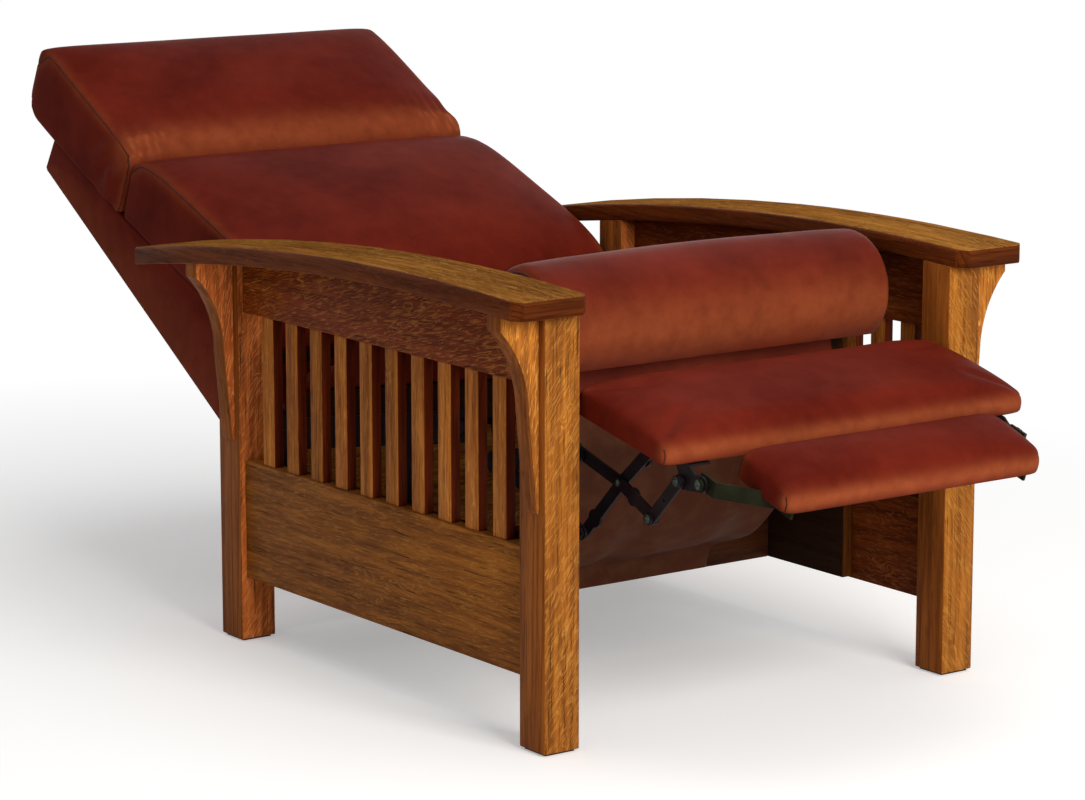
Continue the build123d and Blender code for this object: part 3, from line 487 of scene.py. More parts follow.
def start_material(name):
    material = bpy.data.materials.new(name)
    material.use_nodes = True
    tree = material.node_tree
    return material, tree, add_node(tree, "TexCoord").outputs["Object"]


def plug_in(tree, pattern, values, bump, distance, shading):
    """Joins a pattern's colour, roughness and height to the shader of a material."""
    group = add_node(tree, "Group", node_tree=bpy.data.node_groups[pattern])
    set_inputs(tree, group, values)
    relief = add_node(tree, "Bump", {"Strength": bump, "Distance": distance,
                                     "Height": group.outputs["Height"]})
    set_inputs(tree, tree.nodes["Principled BSDF"], {
        "Base Color": group.outputs["Color"], "Roughness": group.outputs["Roughness"],
        "Normal": relief.outputs["Normal"], **shading})


# How far the grain is turned from the Z axis, about X and about Y
GRAIN_TURN = {"upright": (0.0, 0.0), "lengthwise": (math.pi / 2, 0.0),
              "crosswise": (0.0, math.pi / 2)}


def oak_material(name, grain, colours, shift=0.0, flecks=0.75, growth=0.4, pores=0.7,
                 tone=1.0, by_slat=0.0, gloss=0.06, slant=0.0):
    """Oak with its grain laid one way and its flecks at a slant to it, in degrees."""
    material, tree, coords = start_material(name)
    (around, over), tip = GRAIN_TURN[grain], math.radians(slant)
    laid = add_node(tree, "Mapping", {
        "Rotation": (around, over, 0), "Location": (shift, shift * 1.7, shift * 0.6),
        "Vector": coords})
    tilted = add_node(tree, "Mapping", {
        "Rotation": (around + tip, 0, 0) if around else (0, over + tip, 0),
        "Vector": coords})
    if by_slat:
        slat = vectors(tree, "SNAP", coords, (9.0, by_slat, 9.0))
        chance = add_node(tree, "TexWhiteNoise", {"Vector": slat}).outputs["Value"]
        tone = remap(tree, chance, 0, 1, 1.1, 1.9)
    dark, middle, light = ((*colour, 1) for colour in colours)
    plug_in(tree, "Quartersawn Oak", {
        "Vector": laid.outputs["Vector"], "Fleck Vector": tilted.outputs["Vector"],
        "Dark": dark, "Middle": middle, "Light": light, "Flecks": flecks,
        "Growth": growth, "Pores": pores, "Board Tone": tone}, 0.25, 0.0006,
        {"Specular IOR Level": gloss, "Specular Tint": (1.0, 0.66, 0.34, 1)})
    return material


def leather_material(name, colours, gloss):
    material, tree, coords = start_material(name)
    deep, body, rubbed_and_sheen = ((*colour, 1) for colour in colours)
    # Wear and painted sheen, stored on the cover's points.
    worn_and_sheen = add_node(tree, "Attribute", attribute_name="rub_and_sheen").outputs["Fac"]
    plug_in(tree, "Leather Hide", {
        "Vector": coords, "Deep": deep, "Body": body, "Rubbed And Sheen": rubbed_and_sheen, "Rub And Sheen": worn_and_sheen},
        0.22, 0.0007,
        {"Specular IOR Level": gloss, "Specular Tint": (1.0, 0.55, 0.35, 1)})
    return material


def speckle_material(name, base, glint, scale, dull, bump, metallic=0.0, shine=0.15):
    material, tree, coords = start_material(name)
    plug_in(tree, "Fine Speckle", {
        "Vector": coords, "Base": (*base, 1), "Glint": (*glint, 1), "Scale": scale,
        "Dull": dull}, bump, 0.0004, {"Metallic": metallic, "Specular IOR Level": shine})
    return material


def leather(name="chair_leather", gloss=0.012):
    """A leather that several pieces share, made when it is first asked for."""
    dyes = bpy.context.scene.recliner_leather.dyes()
    return bpy.data.materials.get(name) or leather_material(name, dyes, gloss)


def tinted(colours, factors):
    """A finish's colours, each multiplied by the same red, green and blue shares."""
    return tuple(tuple(c * f for c, f in zip(colour, factors)) for colour in colours)


def paint(piece, material):
    """Makes a material the only one of a piece."""
    piece.data.materials.clear()
    piece.data.materials.append(material)


def dress(nodes, material):
    """Gives CAD nodes a finish."""
    for name in nodes:
        paint(frame["nodes"][name], material)


# Finished pieces

def settle(piece, material, body, slot, *replaced):
    """Gives a piece its material and body, and the CAD nodes that it replaces; its slot is not
    used.
    """
    paint(piece, material)
    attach(piece, body)
    if replaced:
        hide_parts(*replaced)


def eased_copy(node, width, reshape=None):
    """A wooden piece with its arrises eased, which stands for its plain CAD node."""
    mesh = frame["nodes"][node].data.copy()
    mesh.name = f"{node}_eased"
    piece = new_object(f"{node}_eased", mesh)
    work = bmesh.new()
    work.from_mesh(mesh)
    bmesh.ops.remove_doubles(work, verts=work.verts, dist=0.00004)
    bmesh.ops.dissolve_limit(work, angle_limit=math.radians(1.0), verts=work.verts,
                             edges=work.edges)
    if reshape:
        for vert in work.verts:
            vert.co = reshape(vert.co)
    work.to_mesh(mesh)
    work.free()
    modify(piece, "BEVEL", width=width, segments=2, limit_method="ANGLE",
           angle_limit=math.radians(32))
    shade_smooth(piece, sharp=38)
    return piece


def ease(nodes, material, body="frame", slot="stained_oak", width=0.0016, faces=(),
         reshape=None):
    """Stands an eased copy, with a finish, for each of some wooden CAD nodes.

    Each of the faces is a direction, how squarely a face looks that way, and its finish.
    """
    for name in nodes:
        piece = eased_copy(name, width, reshape)
        settle(piece, material, body, slot, name)
        for number, (facing, least, finish) in enumerate(faces, 1):
            piece.data.materials.append(finish)
            for face in piece.data.polygons:
                if face.normal.dot(Vector(facing)) > least:
                    face.material_index = number


def shade_seams(piece, label, paths, body, radius=0.0010):
    """Lays a thin dark cord along each seam of a cover, drawn onto the cover below it: painted
    shade in the seam's crease.
    """
    seam_shade = bpy.data.materials.get("seam_painted_shade") or speckle_material(
        "seam_painted_shade", (0.03, 0.006, 0.004), (0.07, 0.014, 0.008), 500, 0.6, 0.3)
    for i, path in enumerate(paths):
        cover = piece.evaluated_get(bpy.context.evaluated_depsgraph_get())
        points = []
        for point in densify(path, 0.008):
            hit, place, normal, _ = cover.closest_point_on_mesh(point)
            points.append(place + normal * radius * 0.05 if hit else point)
        curve = bpy.data.curves.new(f"{label}_{i}", "CURVE")
        curve.dimensions = "3D"
        curve.bevel_depth = radius
        curve.bevel_resolution = 2
        line = curve.splines.new("POLY")
        line.points.add(len(points) - 1)
        for spot, point in zip(line.points, points):
            spot.co = (*point, 1)
        settle(new_object(f"{label}_{i}", curve), seam_shade, body, "leather_upholstery")


def upholster(piece, body, node, seams, plane, cap, material, board=0.0,
              lowest=0.0003, groove=0.004, bands=(), gathers=()):
    """Blows a cover up as cloth, seams it, and stands it for its CAD node.

    The plane is a place and the direction up from it. The board that the cover rests on
    and the cover's lowest points are at heights above it. Each of the bands is a line, its
    width and its wear and painted sheen, and each of the gathers is what gather is given.
    """
    origin, up = (np.array(part) for part in plane)
    swell_cloth(piece, seams, (vertex_rows(piece) - origin) @ up - board, cap)
    modify(piece, "SUBSURF", levels=1, render_levels=1)
    press_seams(piece, seams, bpy.context.scene.recliner_leather.seam_depth, groove)
    for fold in gathers:
        gather(piece, *fold)
    points = vertex_rows(piece)
    sunk = np.minimum((points - origin) @ up - lowest, 0)
    set_places(piece, points - sunk[:, None] * up)
    paint_rub_and_sheen(piece, seams, bands)
    shade_smooth(piece)
    settle(piece, material, body, "leather_upholstery", node)


# Sizes and colours that a user would change

COLOUR = {"subtype": "COLOR", "size": 3, "min": 0, "max": 1}


class OakSettings(PropertyGroup):
    dark: FloatVectorProperty(
        name="Dark Grain", description="Colour of the dark streaks of the oak",
        **COLOUR, default=(0.155, 0.046, 0.008))
    middle: FloatVectorProperty(
        name="Ground", description="Main colour of the stained oak",
        **COLOUR, default=(0.36, 0.122, 0.016))
    light: FloatVectorProperty(
        name="Ray Flecks", description="Colour of the pale flecks of the oak",
        **COLOUR, default=(0.62, 0.29, 0.055))
    slat_pitch: FloatProperty(
        name="Slat Pitch", description="Distance from one slat to the next",
        subtype="DISTANCE", default=0.0644)

    def dyes(self):
        return self.dark, self.middle, self.light


class LeatherSettings(PropertyGroup):
    deep: FloatVectorProperty(
        name="Deep Dye", description="Darkest colour of the leather",
        **COLOUR, default=(0.080, 0.0075, 0.0040))
    body: FloatVectorProperty(
        name="Body Dye", description="Main colour of the leather",
        **COLOUR, default=(0.148, 0.0155, 0.0075))
    # The lighter colour of wear, and of a painted sheen where the light catches the leather.
    rubbed_and_sheen: FloatVectorProperty(
        name="Rubbed And Sheen", description="Colour of the leather where it is rubbed and pulled",
        **COLOUR, default=(0.33, 0.08, 0.027))
    seam_depth: FloatProperty(
        name="Seam Depth", description="How far the seams are drawn in",
        subtype="DISTANCE", default=0.0016)
    voxel: FloatProperty(
        name="Mesh Size", description="Spacing of the mesh of the cushions",
        subtype="DISTANCE", default=0.0075)

    def dyes(self):
        return self.deep, self.body, self.rubbed_and_sheen


class ApronSettings(PropertyGroup):
    colour: FloatVectorProperty(
        name="Cloth", description="Colour of the drop apron",
        **COLOUR, default=(0.093, 0.023, 0.0075))
    columns: IntProperty(
        name="Columns", description="Faces across the apron", default=60, min=8)
    fold_depth: FloatProperty(
        name="Fold Depth", description="How far its soft folds swing",
        subtype="DISTANCE", default=0.004)


class StageSettings(PropertyGroup):
    floor: FloatVectorProperty(
        name="Floor", description="Colour of the pale floor",
        **COLOUR, default=(0.93, 0.93, 0.93))
    key_power: FloatProperty(
        name="Key Light", description="Power of the main light",
        subtype="POWER", default=130.0)
    top_power: FloatProperty(
        name="Top Light", description="Power of the light from above",
        subtype="POWER", default=26.0)
    ambient: FloatProperty(
        name="Ambient", description="Strength of the light from all round",
        default=0.34)


# Pieces

class RECLINER_OT_shared_grain(Operator):
    """Make the grain, hide and speckle patterns that the finishes share"""
    bl_idname = "recliner.shared_grain"
    bl_label = "Shared Patterns"

    def execute(self, context):
        oak_figure_group()
        leather_hide_group()
        speckle_group()
        return {"FINISHED"}


class RECLINER_OT_oak_frame(Operator):
    """Stand the posts, arms, rails, slats and corbels in stained oak with eased edges"""
    bl_idname = "recliner.oak_frame"
    bl_label = "Oak Frame"

    def pointed(self, end, side):
        """Moves places of a corbel so that its lower half tapers towards a point."""
        low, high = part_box(f"corbel_{end}_{side}")
        root = low.x if side == "left" else high.x
        straight = 0.50 * (high.z - low.z)

        def reshape(place):
            share = min(1.0, (place.z - low.z) / straight)
            spread = 0.16 + 0.84 * share ** 0.8
            return Vector((root + (place.x - root) * spread, place.y, place.z))
        return reshape

    def execute(self, context):
        oak = context.scene.recliner_oak
        colours = oak.dyes()
        olive, dusky = (0.96, 1.1, 1.45), (0.42, 0.26, 0.35)
        russet = (*tinted(colours[:2], (0.54, 0.24, 0.30)),
                  *tinted(colours[2:], (0.78, 0.6, 0.5)))

        def wood(name, grain, tint, shift, **look):
            return oak_material(f"oak_{name}", grain, tinted(colours, tint), shift,
                                **look)

        # Painted shade: the faces that look into the chair are darker and redder for the shade
        # inside it.
        inner = wood("shaded_inner_faces", "lengthwise", (0.5, 0.3, 0.4), 4.4, flecks=0.8,
                     growth=0.3)
        shift = 0.0
        for side, sign in SIDES.items():
            for end in ("front", "rear"):
                shift += 0.37
                warm = (1.0, 1.0, 1.0) if end == "front" else (1.3, 1.0, 1.5)
                # Painted light: each post's tone is raised for how brightly it is lit, and each
                # corbel's further, against the shadow that falls on it.
                lit = 1.16 if side == "left" else {"front": 1.3, "rear": 1.5}[end]
                cheek = wood(f"post_cheek_{end}_{side}", "upright", (0.95, 0.8, 0.9),
                             shift + 0.1, flecks=0.12, growth=0.8, tone=0.95)
                cheeks = [((-1, 0, 0), 0.7, cheek), ((1, 0, 0), 0.7, cheek)]
                ease([f"post_{end}_{side}"],
                     wood(f"post_{end}_{side}", "upright", warm, shift, flecks=0.5,
                          growth=0.25, pores=0.85, tone=lit, slant=sign * 32),
                     faces=cheeks)
                ease([f"corbel_{end}_{side}"],
                     wood(f"corbel_{end}_{side}", "upright", warm, shift + 0.2,
                          flecks=0.6, tone=lit + 0.45, slant=sign * 12),
                     faces=cheeks, reshape=self.pointed(end, side))
            shift += 0.53
            edge = wood(f"arm_edge_{side}", "lengthwise", dusky, shift + 0.1, flecks=0.3,
                        growth=0.5)
            grain_end = wood(f"arm_end_{side}", "crosswise", dusky, shift + 0.2,
                             flecks=0.0, growth=1.0, tone=0.85)
            ease([f"arm_{side}"],
                 wood(f"arm_{side}", "lengthwise", olive, shift, flecks=0.5, gloss=0.0,
                      tone=1.12 if side == "left" else 0.92),
                 width=0.0026, faces=[((-1, 0, 0), 0.4, edge), ((1, 0, 0), 0.4, edge),
                                      ((0, -1, 0), 0.6, grain_end),
                                      ((0, 1, 0), 0.6, grain_end)])
            # Painted shade on the rails' faces that look into the chair.
            shaded_inward = [((-sign, 0, 0), 0.7, inner)]
            ease([f"arch_rail_{side}"],
                 oak_material(f"oak_arch_rail_{side}", "lengthwise", russet, shift + 0.3,
                              flecks=0.8, growth=0.2, slant=14), faces=shaded_inward)
            ease([f"side_rail_{side}"],
                 wood(f"side_rail_{side}", "lengthwise", (0.9, 0.86, 0.9), shift + 0.6,
                      flecks=0.45, growth=0.75, tone=0.97, slant=3), faces=shaded_inward)
            # Painted shade: the slats' front edges, recessed between their neighbours, are
            # darker and redder.
            edge = wood(f"slat_shaded_edge_{side}", "upright", (0.4, 0.16, 0.25), shift + 1.1,
                        flecks=0.1, growth=0.8)
            ease([f"slats_{side}"],
                 wood(f"slats_{side}", "upright", (0.95, 0.9, 1.0), shift + 0.9,
                      flecks=0.3, growth=0.6, by_slat=oak.slat_pitch),
                 width=0.0012, faces=[((0, -1, 0), 0.7, edge)])
        return {"FINISHED"}


# A glue block seen from above: into the chair, and back from the front post
GLUE_BLOCK = ((0.0, 0.0), (0.0, 0.086), (0.006, 0.086), (0.022, 0.072), (0.022, 0.0))
GLUE_BLOCK_HEIGHT = 0.034


class RECLINER_OT_hidden_wood(Operator):
    """Finish the side boards, cross rails, seat rails and footrest boards"""
    bl_idname = "recliner.hidden_wood"
    bl_label = "Boards and Inner Rails"

    def execute(self, context):
        colours = context.scene.recliner_oak.dyes()
        stained = ((0.045, 0.012, 0.005), (0.085, 0.024, 0.009), (0.12, 0.038, 0.014))
        shadowy = ((0.016, 0.007, 0.004), (0.03, 0.012, 0.006), (0.045, 0.02, 0.01))
        plain = ((0.10, 0.045, 0.018), (0.17, 0.08, 0.032), (0.22, 0.12, 0.055))
        # Painted shade: the side boards are darkened for the shade inside the chair, and their
        # front edges, which the light reaches, less so.
        ease(["side_board_left", "side_board_right"],
             oak_material("board_painted_shade", "lengthwise", shadowy, 2.1, flecks=0.3),
             slot="dark_wood", faces=[((0, -1, 0), 0.7, oak_material(
                 "board_edge", "upright", tinted(colours, (0.5, 0.45, 0.5)), 2.2,
                 flecks=0.2))])
        ease(["cross_rail_front"], oak_material(
            "cross_rail_stained", "crosswise", stained, 2.7, flecks=0.2), slot="dark_wood")
        ease(["cross_rail_rear"], oak_material(
            "oak_cross_rail_rear", "crosswise", colours, 2.9, flecks=0.7, tone=0.9))
        # Painted shade on the seat rails, which lie in the shade under the seat.
        dress(["seat_rail_left", "seat_rail_right"], oak_material(
            "seat_rail_long", "lengthwise", shadowy, 3.1, flecks=0, gloss=0.02))
        dress(["seat_rail_rear", "back_rails"], oak_material(
            "seat_rail_cross", "crosswise", shadowy, 3.4, flecks=0, gloss=0.02))
        for side, sign in SIDES.items():
            low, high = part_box(f"side_rail_{side}")
            inner = low.x if side == "left" else high.x
            rear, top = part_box(f"post_front_{side}")[1].y, high.z + 0.010
            block = loft_rings(f"glue_block_{side}", [
                [(inner - sign * x, rear + y, z) for x, y in GLUE_BLOCK]
                for z in (top - GLUE_BLOCK_HEIGHT, top)])
            # Painted shade, as on the side boards.
            settle(block, bpy.data.materials["board_painted_shade"], "frame", "dark_wood")
        dress(["seat_rail_front"], leather_material(
            "front_rail_leather",
            tinted(context.scene.recliner_leather.dyes(), (1.4, 2.3, 2.6)), 0.012))
        dress(["footrest_board", "flipper_board"], oak_material(
            "footrest_plywood", "crosswise", plain, 3.9, flecks=0, tone=0.7, gloss=0.02))
        return {"FINISHED"}


class RECLINER_OT_steel(Operator):
    """Finish the steel plates, links, levers and tube of the mechanism"""
    bl_idname = "recliner.steel"
    bl_label = "Steel Mechanism"

    def execute(self, context):
        dark = speckle_material("steel_dark", (0.008, 0.005, 0.0065),
                                (0.015, 0.010, 0.013), 400, 0.4, 0.12, shine=0.09)
        olive = speckle_material("steel_olive", (0.010, 0.010, 0.004),
                                 (0.018, 0.019, 0.008), 300, 0.46, 0.12, shine=0.05)
        names = ["torque_tube", "crank_arms"]
        for side in SIDES:
            names += [f"{part}_{side}" for part in (
                "base_rail", "lift_arm", "side_plate", "nose_bracket", "long_link",
                "cross_link", "front_link", "footrest_bracket", "back_bracket")]
        dress(names, dark)
        dress(["flipper_lever_left", "flipper_lever_right"], olive)
        dress(["felt_glides"], speckle_material(
            "glide_felt", (0.03, 0.022, 0.018), (0.06, 0.05, 0.04), 900, 0.85, 0.5))
        dress(["seat_webbing"], speckle_material(
            "seat_webbing", (0.05, 0.045, 0.04), (0.11, 0.09, 0.07), 700, 0.8, 0.5))
        return {"FINISHED"}


# The plates that carry rivets, with their bodies; a rivet head's radii and heights; the
# pin at the link's ear, behind and above the flipper's; how far out the rays start that
# look for the outermost plate; and the height of a rear post's bolt
RIVETED = {"nose_bracket": "seat", "long_link": "long_links", "cross_link": "cross_links",
           "front_link": "front_links", "footrest_bracket": "footrest",
           "flipper_lever": "flipper"}
RIVET_HEAD = ((0.0066, -0.0006), (0.0066, 0.0008), (0.0052, 0.0012), (0.0047, 0.0022),
              (0.0035, 0.0032), (0.0016, 0.0037), (0.0003, 0.0038))
EAR_PIN = (0.0401, -0.002)
RAY_START = 0.6
BOLT_HEIGHT = 0.272


class RECLINER_OT_rivets(Operator):
    """Put rivet heads on the linkage and bolt heads behind the rear posts"""
    bl_idname = "recliner.rivets"
    bl_label = "Rivets and Bolts"

    def execute(self, context):
        bright = speckle_material("rivet_steel", (0.03, 0.04, 0.034), (0.09, 0.13, 0.10),
                                  260, 0.28, 0.1, metallic=0.8, shine=0.4)
        flipper = PIVOTS["flipper_turn"]
        pins = {"nose": PIVOTS["footrest_fold"], "cross": PIVOTS["cross_link_turn"],
                "knee": PIVOTS["front_link_turn"],
                "ear": (0, flipper[1] + EAR_PIN[0], flipper[2] + EAR_PIN[1]),
                "flipper": flipper}
        for side, sign in SIDES.items():
            trees = {}
            for part in RIVETED:
                mesh = frame["nodes"][f"{part}_{side}"].data
                trees[part] = bvhtree.BVHTree.FromPolygons(
                    [v.co for v in mesh.vertices], [p.vertices for p in mesh.polygons])
            for pin, spot in pins.items():
                start = Vector((sign * RAY_START, *spot[1:]))
                hits = [(tree.ray_cast(start, Vector((-sign, 0, 0))), part)
                        for part, tree in trees.items()]
                hits = [(hit[3], hit[0], part) for hit, part in hits
                        if hit[0] is not None]
                if not hits:
                    raise RuntimeError(f"no plate at the {pin} pin")
                _, place, part = min(hits, key=lambda hit: hit[0])
                settle(lathe(f"rivet_{pin}_{side}", RIVET_HEAD, place, (sign, 0, 0)),
                       bright, RIVETED[part], "dark_steel")
            low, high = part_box(f"post_rear_{side}")
            bolt = lathe(f"post_bolt_{side}", [(1.3 * r, 1.4 * h) for r, h in RIVET_HEAD],
                         ((low.x + high.x) / 2 + sign * 0.008, high.y, BOLT_HEIGHT),
                         (0, 1, 0))
            settle(bolt, bpy.data.materials["steel_dark"], "frame", "dark_steel")
        return {"FINISHED"}


class Pad:
    """The shape of one sewn pad: where it starts, how it leans and how full it is."""

    def __init__(self, start, lean, half, length, height, crown, draw, corners,
                 bulge=0.002, side_crown=0.3, fullness=3.2, wedge=0.0):
        self.start, self.lean = start, lean
        self.half, self.length, self.height = half, length, height
        self.crown, self.draw, self.corners, self.bulge = crown, draw, corners, bulge
        self.side_crown, self.fullness, self.wedge = side_crown, fullness, wedge

    def place(self, across, along, above):
        """A place of the pad, from shares across (-1 to 1), along and above (0 to 1)."""
        share = abs(across)
        draw = self.draw * share ** 26
        run, rise = rounded(along * self.length, above * self.height, self.length,
                            self.height, self.corners)
        run = draw + run * (1 - 2 * draw / self.length)
        rise *= 1 - draw / self.height
        swell = 1 - abs(2 * run / self.length - 1) ** self.fullness
        arch = self.side_crown + (1 - self.side_crown) * crown_share(share)
        rise += self.crown * above ** 2 * arch * max(0.0, swell)
        rise += self.wedge * above * run / self.length
        side = (1 - (2 * along - 1) ** 2) * (1 - 0.6 * (2 * above - 1) ** 2)
        x = across * (self.half + self.bulge * side * share ** 6)
        return (x, *leaning(self.start, self.lean, run, rise))

    def line(self, *shares):
        """A line on the pad through places given by their three shares."""
        return [self.place(*share) for share in stepped(shares, 12)]

    def build(self, name, body, node, seams, cap, cell, bands=(), gathers=()):
        """Makes the pad from cells of about one size, and upholsters it."""
        counts = [max(4, round(size / cell)) for size in (2 * self.half, self.length,
                                                         self.height)]
        piece = grid_block(name, counts, self.place)
        plane = (0.0, *self.start), (0.0, -math.sin(self.lean), math.cos(self.lean))
        upholster(piece, body, node, seams, plane, cap, leather(), bands=bands,
                  gathers=gathers)
        return piece


class RECLINER_OT_footrest_pads(Operator):
    """Upholster the footrest and the flipper"""
    bl_idname = "recliner.footrest_pads"
    bl_label = "Footrest Pads"

    def execute(self, context):
        for name, body, node, lean, half, length in (
                ("footrest_leather", "footrest", "footrest_pad", 12.0, 0.3125, 0.206),
                ("flipper_leather", "flipper", "flipper_pad", 17.5, 0.2205, 0.115)):
            lean = math.radians(lean)
            board_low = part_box(node.replace("pad", "board"))[0]
            start = leaning((board_low.y + 0.011 * math.sin(lean), board_low.z), lean,
                            -0.014, 0)
            pad = Pad(start, lean, half, length, height=0.032, crown=0.014, draw=0.007,
                      corners=(0.004, 0.004, 0.010, 0.018), wedge=0.008)
            corners = [pad.line((side, end, 0.05), (side, end, 0.93))
                       for side in (-1, 1) for end in (0, 1)]
            # The band along the front is a painted highlight, with some wear, where the light
            # catches the pad.
            front = pad.line((-1, 0.0, 0.55), (1, 0.0, 0.55))
            creased = [pad.place(side, 0, 1) for side in (-1, 1)]
            piece = pad.build(name, body, node, corners, cap=0.005, cell=0.0062,
                              bands=[(front, 0.013, 0.8)],
                              gathers=[(creased, 0.02, 0.006, 0.0005)])
            shade_seams(piece, f"{name}_corner", corners, body, radius=0.0008)
        return {"FINISHED"}


class RECLINER_OT_back_cushion(Operator):
    """Upholster the lower cushion of the back"""
    bl_idname = "recliner.back_cushion"
    bl_label = "Back Cushion"

    def execute(self, context):
        lean = BACK_SLOPE - math.atan2(0.083, 0.44)
        pad = Pad(back_place(0, 0.1684), lean, half=0.313, length=0.442, height=0.097,
                  crown=0.036, draw=0.003, corners=(0.006, 0.006, 0.014, 0.030),
                  bulge=0.005, side_crown=0.66, fullness=4.5)
        seams = [pad.line((side, 0, 0.85), (side, 0.06, 1), (side, 0.94, 1),
                          (side, 1, 0.85)) for side in (-1, 1)]
        piece = pad.build("back_cushion_leather", "back", "back_pad", seams, cap=0.014,
                          cell=context.scene.recliner_leather.voxel * 1.2)
        shade_seams(piece, "back_cushion_seam", seams, "back")
        return {"FINISHED"}


class RECLINER_OT_head_pillow(Operator):
    """Upholster the head pillow over the top of the back"""
    bl_idname = "recliner.head_pillow"
    bl_label = "Head Pillow"

    def execute(self, context):
        lean = BACK_SLOPE - math.atan2(0.025, 0.231)
        pad = Pad(back_place(0.4404, 0.0854), lean, half=0.316, length=0.325,
                  height=0.104, crown=0.024, draw=0.002,
                  corners=(0.010, 0.036, 0.015, 0.020), bulge=0.004, side_crown=0.27,
                  fullness=4.8, wedge=0.014)
        seams = [pad.line((side, 0, 0.02), (side, 0, 0.9), (side, 0.05, 1),
                          (side, 0.9, 1), (side, 1, 0.7), (side, 1, 0.2))
                 for side in (-1, 1)]
        # A painted highlight, with some wear, along the lower front of the pillow.
        bands = [(pad.line((-1, 0.06, 1), (1, 0.06, 1)), 0.034, 0.7)]
        for side in (-1, 1):
            for i in range(5):  # painted highlights on short creases at the lower corner, each a little fainter
                inset = 0.045 * i
                crease = pad.line((side * (0.97 - inset), 0.02, 1),
                                  (side * (0.95 - inset), 0.12, 1))
                bands.append((crease, 0.0045, 1.5 - 0.15 * i))
        low = [pad.place(side * 0.94, 0.03, 1) for side in (-1, 1)]
        cheeks = [pad.place(side, 0.12, 0.5) for side in (-1, 1)]
        piece = pad.build("head_pillow_leather", "back", "head_pillow", seams, cap=0.008,
                          cell=context.scene.recliner_leather.voxel * 1.2,
                          bands=bands, gathers=[
                              (low, 0.060, 0.021, 0.0030),
                              (cheeks, 0.07, 0.05, 0.0022, (0, 0.5, 0.87))])
        shade_seams(piece, "head_pillow_seam", seams, "back")
        return {"FINISHED"}


class RECLINER_OT_seat_cushion(Operator):
    """Upholster the seat with its deep front roll"""
    bl_idname = "recliner.seat_cushion"
    bl_label = "Seat Cushion"

    deck = 0.0704  # the height of the deck that the cushion rests on
    heel = 0.029  # the rear end of the cushion on the deck
    crest = 0.188  # the height of the seat behind the roll
    roll, radius = (0.600, 0.142), 0.082  # the centre and the radius of the front roll
    drop = 0.0716  # from the centre of the roll down to the deck

    def profile(self, draw, crown):
        """The cushion's outline, drawn in all round and crowned on top."""
        radius = self.radius - draw
        foot = self.roll[0] - math.sqrt(radius ** 2 - self.drop ** 2)
        points = [(self.heel + draw + (foot - self.heel - draw) * i / 30, self.deck)
                  for i in range(30)]
        low = math.degrees(math.asin(-self.drop / radius))
        points += arc_points(self.roll, radius, -180 - low, 130, 40)
        front, rear = 0.505, 0.146
        for i in range(1, 24):
            share = i / 24
            reach = front + (rear - front) * share
            rise = self.crest - draw + (0.009 + crown) * math.sin(math.pi * share) ** 0.8
            points.append((reach, rise - 0.004 * share))
        points += [(0.138 + draw, 0.176 - draw), (0.126 + draw, 0.155 - draw),
                   (0.119 + draw, 0.135 - draw), (0.112 + draw, 0.108 - draw),
                   (0.098, 0.103 - draw), (0.07, 0.102 - draw),
                   (0.034 + draw, 0.101 - draw), (self.heel + draw, 0.094 - draw)]
        return points

    def execute(self, context):
        half = 0.300
        rings = []
        for x, draw, share in stations(half, 0.016):
            outline = self.profile(min(draw, 0.0098) - 0.0006, 0.008 * share)
            rings.append([(x, *seat_place(s, t)) for s, t in outline])
        piece = loft_rings("seat_cushion_leather", rings)
        modify(piece, "REMESH", mode="VOXEL",
               voxel_size=context.scene.recliner_leather.voxel)
        modify(piece, "SMOOTH", factor=0.5, iterations=3)
        around = self.profile(0.010, 0.0)[30:95]  # the roll and the top
        seams = [[(side * (half - 0.003), *seat_place(s, t)) for s, t in around]
                 for side in (-1, 1)]
        # A painted sheen, with some wear, along the lower part of the roll.
        under = seat_place(self.roll[0] + 0.075, self.roll[1] - 0.03)
        plane = SEAT_PIVOT, (0.0, math.sin(SEAT_SLOPE), math.cos(SEAT_SLOPE))
        upholster(piece, "seat", "seat_cushion", seams, plane, cap=0.012,
                  material=leather("roll_leather", 0.045), board=self.deck, lowest=0.0706,
                  groove=0.006, bands=[([(-half, *under), (half, *under)], 0.045, 0.75)])
        shade_seams(piece, "seat_roll_seam", [path[::3] for path in seams], "seat")
        return {"FINISHED"}


class RECLINER_OT_back_shell(Operator):
    """Cover the sides and the rear of the back in leather"""
    bl_idname = "recliner.back_shell"
    bl_label = "Back Shell"

    def execute(self, context):
        # Its side view: up the back, and out from the rear face
        outline = [(0.0, 0.0), (0.671, 0.0), (0.671, 0.060), (0.440, 0.085), (0.0, 0.168)]
        ring = stepped(outline + outline[:1], 16)[:-1]
        half, count = 0.312, 20
        rings = [[(half * (1 - 2 * j / count), *back_place(up, out)) for up, out in ring]
                 for j in range(count + 1)]
        piece = loft_rings("back_shell_leather", rings)
        modify(piece, "BEVEL", width=0.005, segments=3, limit_method="ANGLE",
               angle_limit=math.radians(25))
        seams = [[(side * 0.310, *back_place(up, 0.002)) for up in (0.01, 0.665)]
                 for side in (-1, 1)]
        # Wear and painted sheen along the seams.
        paint_rub_and_sheen(piece, seams)
        shade_smooth(piece)
        settle(piece, leather(), "back", "leather_upholstery",
               "back_side_left", "back_side_right", "back_panel")
        shade_seams(piece, "back_shell_seam", seams, "back")
        return {"FINISHED"}


